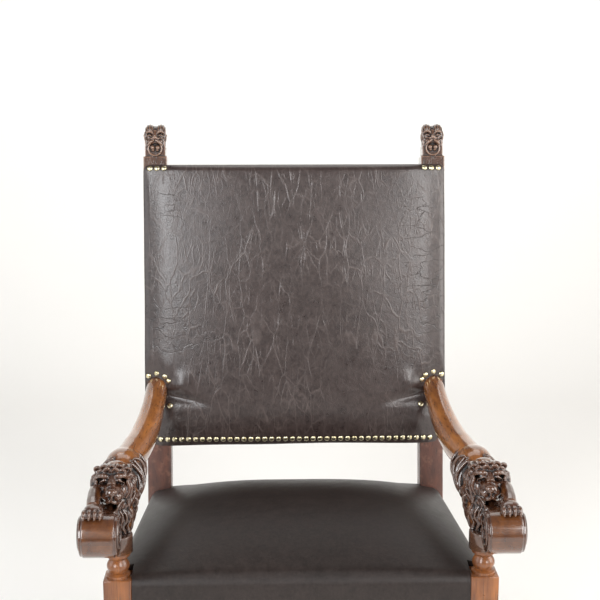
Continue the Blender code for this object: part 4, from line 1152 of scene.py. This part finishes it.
def rounded_slab(stations, radius):
    """A box with rounded edges, with a line of vertices at each station of each axis."""
    bm = bmesh.new()
    bmesh.ops.create_cube(bm, size=2.0)
    cells = [len(row) - 1 for row in stations]
    for axis in range(3):
        along = [edge for edge in bm.edges
                 if abs(edge.verts[0].co[axis] - edge.verts[1].co[axis]) > 1.0]
        bmesh.ops.subdivide_edges(bm, edges=along, cuts=cells[axis] - 1, use_grid_fill=True)
    low = Vector([row[0] + radius for row in stations])
    high = Vector([row[-1] - radius for row in stations])
    for v in bm.verts:
        for axis in range(3):
            step = round((v.co[axis] + 1.0) / 2.0 * cells[axis])
            v.co[axis] = stations[axis][step]
        core = Vector([min(max(v.co[i], low[i]), high[i]) for i in range(3)])
        out = v.co - core
        if out.length > MERGE:
            v.co = core + out.normalized() * radius
    return bm


def arm_joints():
    """Where the arms' middles meet the leather, in the back's own frame."""
    inverse = lean_matrix().inverted()
    start, first = arm_route()[0][0], arm_route()[1][0]
    along = (first - start).normalized()
    point = inverse @ (start + along * ARM_JOINT_INSET * 2)
    return [Vector((side * point.x, 0.0, point.z)) for side in (1, -1)]


def back_pull(x, z):
    """How far the back's leather is drawn in at a point of its front, and its small folds."""
    pull = 0.0
    for joint in arm_joints():
        side = 1 if joint.x > 0 else -1
        dx = (x - joint.x) * side
        dz = z - joint.z
        reach = math.hypot(dx, dz)
        turn = math.atan2(dz, -dx)
        pull += 0.0080 * math.exp(-((reach - 0.018) / 0.024) ** 2)
        folds = math.sin(6.0 * turn + 0.9) * math.exp(-((reach - 0.042) / 0.022) ** 2)
        pull -= 0.0012 * folds
        for lump_turn, lump_reach, rise in ((0.30, 0.046, 0.0050), (-1.12, 0.066, 0.0050)):
            lump_x = -lump_reach * math.cos(lump_turn)
            lump_z = lump_reach * math.sin(lump_turn)
            off = math.hypot(dx - lump_x, dz - lump_z)
            pull -= rise * math.exp(-(off / 0.021) ** 2)
        fold = math.hypot((dx + 0.052) * 0.40, (dz + 0.016) * 1.7 - (dx + 0.052) * 0.4)
        pull += 0.0060 * math.exp(-(fold / 0.015) ** 2)
    for side in (1, -1):
        corner = math.hypot(x - side * STILE_X, z - BACK_LENGTH)
        pull += 0.0035 * math.exp(-(corner / 0.030) ** 2)
    low = max(0.0, 1.0 - z / 0.030)
    pull += 0.0012 * low * (0.5 + 0.5 * math.cos(2 * math.pi * x / BACK_NAIL_PITCH))
    return pull


def make_back(leather):
    """The padded leather back: crowned, drawn in round the arms and along its nails."""
    fine = 2
    half = BACK_WIDTH / 2
    stations = (
        spaced(-half, half, BACK_ROUNDING, 3 * fine, 78 * fine),
        spaced(0.0, BACK_THICK, BACK_ROUNDING, 3 * fine, 4 * fine),
        spaced(0.0, BACK_LENGTH, BACK_ROUNDING, 3 * fine, 70 * fine),
    )
    bm = rounded_slab(stations, BACK_ROUNDING)
    for v in bm.verts:
        x, z = v.co.x, v.co.z
        front = max(0.0, 1.0 - v.co.y / BACK_ROUNDING)
        if front > 0.0:
            across = 1.0 - abs(x / half) ** 2.8
            along = max(0.0, 1.0 - (2.0 * z / BACK_LENGTH - 1.0) ** 2)
            v.co.y -= BACK_CROWN * across * along ** 0.5 * front
            tucked = 0.0085 * math.exp(-(z / 0.045) ** 2) + 0.0060 * math.exp(-((half - abs(x)) / 0.026) ** 2)
            v.co.y += (back_pull(x, z) + tucked) * front
            v.co.y += 0.0009 * noise.noise(Vector((x * 9.0, z * 5.0, 2.0))) * front
        hang = max(0.0, 1.0 - z / 0.10) ** 2
        drop = 0.0034 + 0.0030 * max(0.0, -x / half) + 0.0012 * noise.noise(Vector((x * 7.0, 0.3, 9.0)))
        v.co.z -= drop * hang
        v.co.x += 0.0008 * noise.noise(Vector((z * 9.0, 4.0, x))) * abs(x) / half
        if v.co.y > BACK_THICK - BACK_ROUNDING * 0.5:
            sag = (1.0 - (x / half) ** 4) * (1.0 - abs(2.0 * z / BACK_LENGTH - 1.0) ** 4)
            v.co.y -= 0.0035 * sag
    bmesh.ops.transform(bm, matrix=lean_matrix(), verts=bm.verts)
    back = object_from("back_leather", bm, leather)
    return stand_for(back, "back_upholstery")


def seat_outline(y, outset):
    """Half the seat's width at a depth, out to the rails' faces and more."""
    front = FRONT_POST_X + POST_HALF - SIDE_RAIL_SETBACK
    rear = BACK_WIDTH / 2 - LEATHER - REAR_RAIL_SETBACK
    rear_y = rear_leg_centre(SEAT_RAIL_Z)
    share = (y - FRONT_POST_Y) / (rear_y - FRONT_POST_Y)
    return front + (rear - front) * share + outset


def seat_limits():
    """The seat's front and rear, out to the leather."""
    front = FRONT_POST_Y - POST_HALF + FRONT_RAIL_SETBACK - LEATHER
    rear = rear_leg_centre(SEAT_RAIL_Z) + SEAT_RAIL_THICK / 2 + LEATHER
    return front, rear


def make_seat(leather, lining):
    """The domed leather seat, drawn down over the rails, with lining cloth underneath."""
    fine = 2
    front, rear = seat_limits()
    half = seat_outline(FRONT_POST_Y, LEATHER)
    edge_z = SEAT_RAIL_TOP + SEAT_EDGE_RISE
    below = SEAT_SKIRT_BOTTOM
    skirt = (edge_z - SEAT_ROUNDING - below) / (5 * fine)
    stations = (
        spaced(-half, half, SEAT_ROUNDING, 3 * fine, 52 * fine),
        spaced(front, rear, SEAT_ROUNDING, 3 * fine, 40 * fine),
        [below - 2 * SEAT_ROUNDING, below - SEAT_ROUNDING]
        + [below + skirt * i for i in range(5 * fine)]
        + [edge_z - SEAT_ROUNDING + SEAT_ROUNDING * i / (3 * fine) for i in range(3 * fine + 1)],
    )
    bm = rounded_slab(stations, SEAT_ROUNDING)
    middle_y = (front + rear) / 2
    half_depth = (rear - front) / 2
    for v in bm.verts:
        x, y = v.co.x, v.co.y
        across = min(1.0, abs(x) / half)
        along = min(1.0, abs(y - middle_y) / half_depth)
        if v.co.z > edge_z - SEAT_ROUNDING:
            lift = (v.co.z - (edge_z - SEAT_ROUNDING)) / SEAT_ROUNDING
            v.co.z += SEAT_CROWN * (1.0 - across ** SEAT_FLATNESS) * (1.0 - along ** SEAT_SWELL) * lift
            v.co.z += 0.0008 * noise.noise(Vector((x * 8.0, y * 8.0, 5.0))) * lift
        bulge = math.sin(math.pi * min(1.0, max(0.0, (v.co.z - below) / (edge_z - below))))
        outward = 0.0022 * bulge
        v.co.x *= seat_outline(y, LEATHER + outward) / half
        if y < front + SEAT_ROUNDING:
            v.co.y -= outward
    seat = object_from("seat_leather", bm, leather)
    seat.data.materials.append(lining)
    inner_front = front + LEATHER - GAP
    inner_rear = rear - LEATHER + GAP
    hollow = plain_box((-0.5, inner_front, below - 4 * SEAT_ROUNDING),
                       (0.5, inner_rear, SEAT_RAIL_TOP + GAP), lining)
    for v in hollow.data.vertices:
        v.co.x *= 2 * seat_outline(v.co.y, GAP)
    cut(seat, hollow)
    cut(seat, plain_box((-1.0, -1.0, 0.0), (1.0, 1.0, SEAT_SKIRT_BOTTOM), leather))
    for side in (1, -1):
        near, far = sorted((side * (FRONT_POST_X - POST_HALF - GAP), side * 1.0))
        cut(seat, plain_box((near, -1.0, 0.1), (far, FRONT_POST_Y + POST_HALF + GAP, BACK_BOTTOM_Z), leather))
        cut(seat, stile_box(side, leather))
    seat.data.shade_smooth()
    seat.data.set_sharp_from_angle(angle=math.radians(48))
    return stand_for(seat, "seat_upholstery")


# Nails

def add_nail(bm, place, outward, layer):
    """One domed nail head on a surface."""
    turn = Vector((0, 0, 1)).rotation_difference(Vector(outward)).to_matrix().to_4x4()
    matrix = Matrix.Translation(place) @ turn
    rings = ((1.0, 0.0), (0.96, 0.30), (0.80, 0.62), (0.50, 0.88))
    steps = 12
    rows = []
    for share, height in rings:
        row = []
        for i in range(steps):
            angle = 2 * math.pi * i / steps
            spot = Vector((NAIL_RADIUS * share * math.cos(angle),
                           NAIL_RADIUS * share * math.sin(angle), NAIL_RISE * height))
            v = bm.verts.new(matrix @ spot)
            v[layer] = height
            row.append(v)
        rows.append(row)
    for low, high in zip(rows, rows[1:]):
        for i in range(steps):
            j = (i + 1) % steps
            bm.faces.new((low[i], low[j], high[j], high[i]))
    crown = bm.verts.new(matrix @ Vector((0, 0, NAIL_RISE)))
    crown[layer] = 1.0
    for i in range(steps):
        bm.faces.new((rows[-1][i], rows[-1][(i + 1) % steps], crown))
    bm.faces.new(list(reversed(rows[0])))


def nail_row(name, places, finish):
    """A row of nails, each a (place, outward) pair, as one piece."""
    bm = bmesh.new()
    layer = bm.verts.layers.float.new("relief")
    for place, outward in places:
        add_nail(bm, place, outward, layer)
    row = object_from(name, bm, finish)
    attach(row, ROOT)
    return row


def surface_hits(obj, spots, direction, sink=0.0006):
    """Drop nails onto a piece: (place, normal) where each ray meets it."""
    direction = Vector(direction).normalized()
    hits = []
    for spot in spots:
        found, place, normal, _ = obj.ray_cast(Vector(spot) - direction * 0.08, direction)
        if found:
            hits.append((place - normal * sink, normal))
    return hits


def evenly(start, end, pitch):
    """Points from start to end, about a pitch apart, ends included."""
    start = Vector(start)
    end = Vector(end)
    count = max(1, round((end - start).length / pitch))
    return [start.lerp(end, i / count) for i in range(count + 1)]


def make_nails(back, seat, brass):
    """Nails along the back's lower edge, at its corners, arms and rear, and round the seat."""
    lean = lean_matrix()
    inward = lean.to_3x3() @ Vector((0, 1, 0))
    outward = -inward
    low = 0.0074
    reach = BACK_WIDTH / 2 - 0.030
    row = [lean @ p for p in evenly((-reach, 0, low), (reach, 0, low), BACK_NAIL_PITCH)]
    nail_row("nails_back_lower", surface_hits(back, row, inward), brass)
    corners = []
    joints = []
    for side in (1, -1):
        for i in (-1, 0, 1):
            corners.append(lean @ Vector((side * (STILE_X + i * 0.0135), 0, BACK_LENGTH - 0.0075)))
        arm = arm_joints()[0 if side > 0 else 1]
        for angle in (-36, 1, 38, 62):
            turn = math.radians(angle)
            joints.append(lean @ (arm + Vector((-side * 0.0265 * math.sin(turn), 0,
                                                0.0045 + 0.0265 * math.cos(turn)))))
        joints.append(lean @ (arm + Vector((-side * 0.026, 0, -0.030))))
    nail_row("nails_finial_corners", surface_hits(back, corners, inward), brass)
    nail_row("nails_arm_joints", surface_hits(back, joints, inward), brass)
    edge = 0.012
    wide = BACK_WIDTH / 2 - edge
    rear = []
    for start, end in (
        ((-wide, 0, edge), (wide, 0, edge)), ((-wide, 0, BACK_LENGTH - edge), (wide, 0, BACK_LENGTH - edge)),
    ):
        rear += evenly(start, end, 0.018)
    for side in (1, -1):
        rear += evenly((side * wide, 0, edge + 0.018), (side * wide, 0, BACK_LENGTH - edge - 0.018), 0.018)
    spots = [lean @ Vector((p.x, BACK_THICK, p.z)) for p in rear]
    nail_row("nails_rear_panel", surface_hits(back, spots, outward), brass)
    front, rear_y = seat_limits()
    height = SEAT_SKIRT_BOTTOM + 0.008
    post_x = FRONT_POST_X - POST_HALF - 0.008
    places = surface_hits(seat, evenly((-post_x, front, height), (post_x, front, height), 0.0145), (0, 1, 0))
    for side in (1, -1):
        start = Vector((side * seat_outline(FRONT_POST_Y + 0.032, LEATHER), FRONT_POST_Y + 0.032, height))
        end = Vector((side * seat_outline(0.128, LEATHER), 0.128, height))
        places += surface_hits(seat, evenly(start, end, 0.0145), (-side, 0, 0))
    reach = STILE_X - STILE_WIDTH / 2 - 0.008
    rear_spots = evenly((-reach, rear_y, height), (reach, rear_y, height), 0.0145)
    places += surface_hits(seat, rear_spots, (0, -1, 0))
    nail_row("nails_seat", places, brass)


# Setting

def make_stage():
    """A pale floor that turns up into a pale wall behind the chair."""
    bm = bmesh.new()
    front, back, height, bend = -4.6, 3.4, 4.5, 1.2
    outline = [(front, 0.0), (back - bend, 0.0)]
    for i in range(1, 13):
        turn = math.pi / 2 * i / 12
        outline.append((back - bend + bend * math.sin(turn), bend - bend * math.cos(turn)))
    outline.append((back, height))
    row = [bm.verts.new((-6.0, y, z)) for y, z in outline]
    edges = [bm.edges.new(pair) for pair in zip(row, row[1:])]
    made = bmesh.ops.extrude_edge_only(bm, edges=edges)
    for item in made["geom"]:
        if isinstance(item, bmesh.types.BMVert):
            item.co.x = 6.0
    bmesh.ops.recalc_face_normals(bm, faces=bm.faces)
    sweep = object_from("studio_sweep", bm, plain_finish("pale_wall", WALL_COLOUR, 0.9))


def add_light(name, place, target, size, power, colour):
    """A soft rectangular light turned to a target."""
    light = bpy.data.lights.new(name, "AREA")
    light.shape = "RECTANGLE"
    light.size, light.size_y = size
    light.energy = power
    light.color = colour
    lamp = bpy.data.objects.new(name, light)
    bpy.context.scene.collection.objects.link(lamp)
    lamp.location = place
    lamp.rotation_euler = (Vector(target) - Vector(place)).to_track_quat("-Z", "Y").to_euler()


def make_lights():
    """Windows at both sides, two softboxes, a soft ceiling, and a room pale to the sides."""
    centre = (0, 0.1, 0.7)
    add_light("window_left", (-2.7, -0.5, 1.5), centre, (1.8, 2.2), 24.0, (0.90, 0.96, 1.0))
    add_light("window_right", (2.7, -0.5, 1.5), centre, (1.8, 2.2), 62.0, (1.0, 0.98, 0.95))
    add_light("softbox_left", (-2.05, -3.4, 2.4), centre, (1.4, 2.6), 135.0, (0.96, 0.98, 1.0))
    add_light("softbox_right", (2.10, -3.4, 2.4), centre, (1.4, 2.6), 112.0, (1.0, 0.99, 0.98))
    add_light("ceiling", (0.0, 1.7, 3.2), (0, 0.6, 0.0), (3.0, 1.6), 26.0, (1.0, 0.99, 0.97))
    world = bpy.data.worlds.new("studio")
    world.use_nodes = True
    tree = world.node_tree
    coordinates = tree.nodes.new("ShaderNodeTexCoord")
    height = tree.nodes.new("ShaderNodeSeparateXYZ")
    tree.links.new(coordinates.outputs["Generated"], height.inputs["Vector"])
    front = ramp(tree, height.outputs["Z"], [
        (0.0, (0.10, 0.095, 0.09)), (0.25, (0.95, 0.93, 0.90)), (0.50, (0.60, 0.59, 0.58)), (0.80, 0.25),
    ])
    sides = ramp(tree, height.outputs["Z"], [
        (0.0, (0.80, 0.78, 0.76)), (0.25, (0.95, 0.93, 0.90)), (0.50, (0.60, 0.59, 0.58)), (0.80, 0.25),
    ])
    lateral = tree.nodes.new("ShaderNodeMath")
    lateral.operation = "ABSOLUTE"
    tree.links.new(height.outputs["X"], lateral.inputs[0])
    colour = blended(tree, ramp(tree, lateral.outputs[0], [(0.45, 0.0), (0.75, 1.0)]), front, sides)
    tree.links.new(colour, tree.nodes["Background"].inputs["Color"])
    tree.nodes["Background"].inputs["Strength"].default_value = 0.65
    bpy.context.scene.world = world
    bpy.context.scene.view_settings.view_transform = "Standard"


def make_camera():
    """The photograph's view: from a little to the left, looking down by twelve degrees."""
    camera = bpy.data.objects.new("camera", bpy.data.cameras.new("camera"))
    bpy.context.scene.collection.objects.link(camera)
    camera.location = (-0.055, -2.2344, 1.3271)
    target = Vector((0.0093, 0.210, 0.8073))
    camera.rotation_euler = (target - camera.location).to_track_quat("-Z", "Y").to_euler()
    camera.data.sensor_width = 36.0
    camera.data.lens = 78.05
    bpy.context.scene.camera = camera


def curled(centre, reach, radius, start, sense=1, loops=1.5, tilt=0.0):
    """A strand wound into a curl that faces forward, with a hole at its middle."""
    x, y, z = centre
    strand = []
    count = round(9 * loops)
    for i in range(count + 1):
        turn = start + sense * 2 * math.pi * i / 9
        arm = reach * (1.0 - 0.62 * i / count)
        strand.append(((x + arm * math.cos(turn), y + tilt * arm * math.sin(turn), z + arm * math.sin(turn)),
                       radius * (1.0 - 0.25 * i / count)))
    return strand


def stile_box(side, finish):
    """A box round the rear post where it passes the seat."""
    low, high = SEAT_SKIRT_BOTTOM - 0.05, BACK_BOTTOM_Z
    depth = STILE_DEPTH / math.cos(BACK_LEAN)
    reach = STILE_WIDTH / 2 + GAP
    box = plain_box((side * STILE_X - reach, -1.0, low), (side * STILE_X + reach, 1.0, high), finish)
    for v in box.data.vertices:
        z = v.co.z
        v.co.y = rear_leg_centre(z) + (depth / 2 + GAP) * (1 if v.co.y > 0 else -1)
    return box


def lion_body():
    """The lion's large masses, which run smoothly into each other and into the arm."""
    return [
        ((0.02, 1.28, 1.03), (0.31, 0.46, 0.28)),
        ((-0.08, 1.08, 0.75), (0.27, 0.40, 0.20)),
        ((0.03, 0.78, 0.88), (0.30, 0.44, 0.31)),
        ((0.01, 0.34, 0.50), (0.25, 0.36, 0.48)),
        ((0.15, 0.30, 0.74), (0.24, 0.28, 0.28)),
        ((0.16, -0.30, 0.52), (0.21, 0.28, 0.31)),
        ((0.22, 0.12, 0.77), (0.14, 0.13, 0.17)),
        ((-0.22, 0.62, 0.72), (0.12, 0.20, 0.12)),
        ((0.05, 0.70, 0.66), (0.24, 0.36, 0.24)),
    ]


def side_locks():
    """The plainer locks on the outer side, the chest and under the belly."""
    locks = []
    for i in range(5):
        y = 0.50 + 0.125 * i
        lock = [((0.16, y, 1.25), 0.045), ((0.300, y + 0.03, 1.10), 0.055), ((0.345, y + 0.06, 0.92), 0.055),
                ((0.300, y + 0.10, 0.74), 0.048), ((0.215, y + 0.12, 0.60), 0.022)]
        locks += twisted(lock, 3, 0.6, i * 1.1)
    for i in range(5):
        y = 0.04 + 0.145 * i
        lock = [((0.220, y, 0.76), 0.040), ((0.270, y + 0.02, 0.60), 0.048), ((0.245, y, 0.44), 0.046),
                ((0.215, y - 0.02, 0.28), 0.036), ((0.150, y - 0.04, 0.14), 0.018)]
        locks += twisted(lock, 3, 0.8, i * 0.8)
    for i in range(3):
        y = 0.24 + 0.15 * i
        lock = [((-0.190, y, 0.62), 0.034), ((-0.225, y + 0.02, 0.48), 0.042), ((-0.205, y, 0.32), 0.038),
                ((-0.140, y - 0.02, 0.15), 0.018)]
        locks += twisted(lock, 3, 0.7, i * 1.4)
    for i in range(5):
        x = 0.02 + 0.085 * (i - 2)
        lock = [((x, 1.72, 0.80), 0.026), ((1.25 * x, 1.38, 0.72), 0.050), ((1.4 * x, 1.02, 0.555), 0.056),
                ((1.3 * x, 0.74, 0.400), 0.054), ((1.1 * x, 0.600, 0.250), 0.044),
                ((0.8 * x, 0.480, 0.10), 0.022)]
        locks += twisted(lock, 2, 0.5, i * 0.9)
    return locks


def thinned(obj, triangles):
    """Take out what a piece can spare of its triangles, most where it is smooth."""
    count = sum(len(face.vertices) - 2 for face in obj.data.polygons)
    if count > triangles:
        spare = obj.modifiers.new("thin", "DECIMATE")
        spare.ratio = triangles / count
        settle(obj)
    return obj


def main():
    """The whole chair, its setting and its finishes."""
    make_camera()
    make_lights()
    make_stage()
    polished = wood_finish("polished_walnut", (0.300, 0.105, 0.026), (0.085, 0.026, 0.009), 2, 0.22)
    carving = wood_finish("carved_walnut", (0.440, 0.165, 0.038), (0.140, 0.042, 0.012), 1, 0.14,
                          0.99, 0.14, 0.10, (0.012, 0.006, 0.005), 1.0)
    dull = wood_finish("dull_walnut", (0.120, 0.038, 0.020), (0.040, 0.014, 0.009), 2, 0.42,
                       0.97, 0.25, 0.5)
    mask = wood_finish("mask_walnut", (0.074, 0.030, 0.016), (0.024, 0.010, 0.006), 2, 0.16,
                       0.99, 0.40, 0.15, None, 1.0)
    back_leather = leather_finish("back_leather", (0.025, 0.0155, 0.0140), (0.016, 0.0100, 0.0092),
                                  0.55, 0.30,
                                  0.62, 0.26)
    seat_leather = leather_finish("seat_leather", (0.014, 0.009, 0.0075), (0.009, 0.006, 0.005), 0.0, 0.42,
                                  0.36, 0.10)
    brass = brass_finish("antique_brass")
    make_arms(carving)
    make_rear_posts(dull, mask)
    make_turned_pieces(polished)
    back = make_back(back_leather)
    seat = make_seat(seat_leather, cloth_finish("black_lining"))
    make_nails(back, seat, brass)
    for name in ("front_seat_rail", "back_seat_rail", "left_seat_rail", "right_seat_rail",
                 "back_top_rail", "back_bottom_rail"):
        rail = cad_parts[name]
        rail.data.materials.clear()
        rail.data.materials.append(dull)


main()
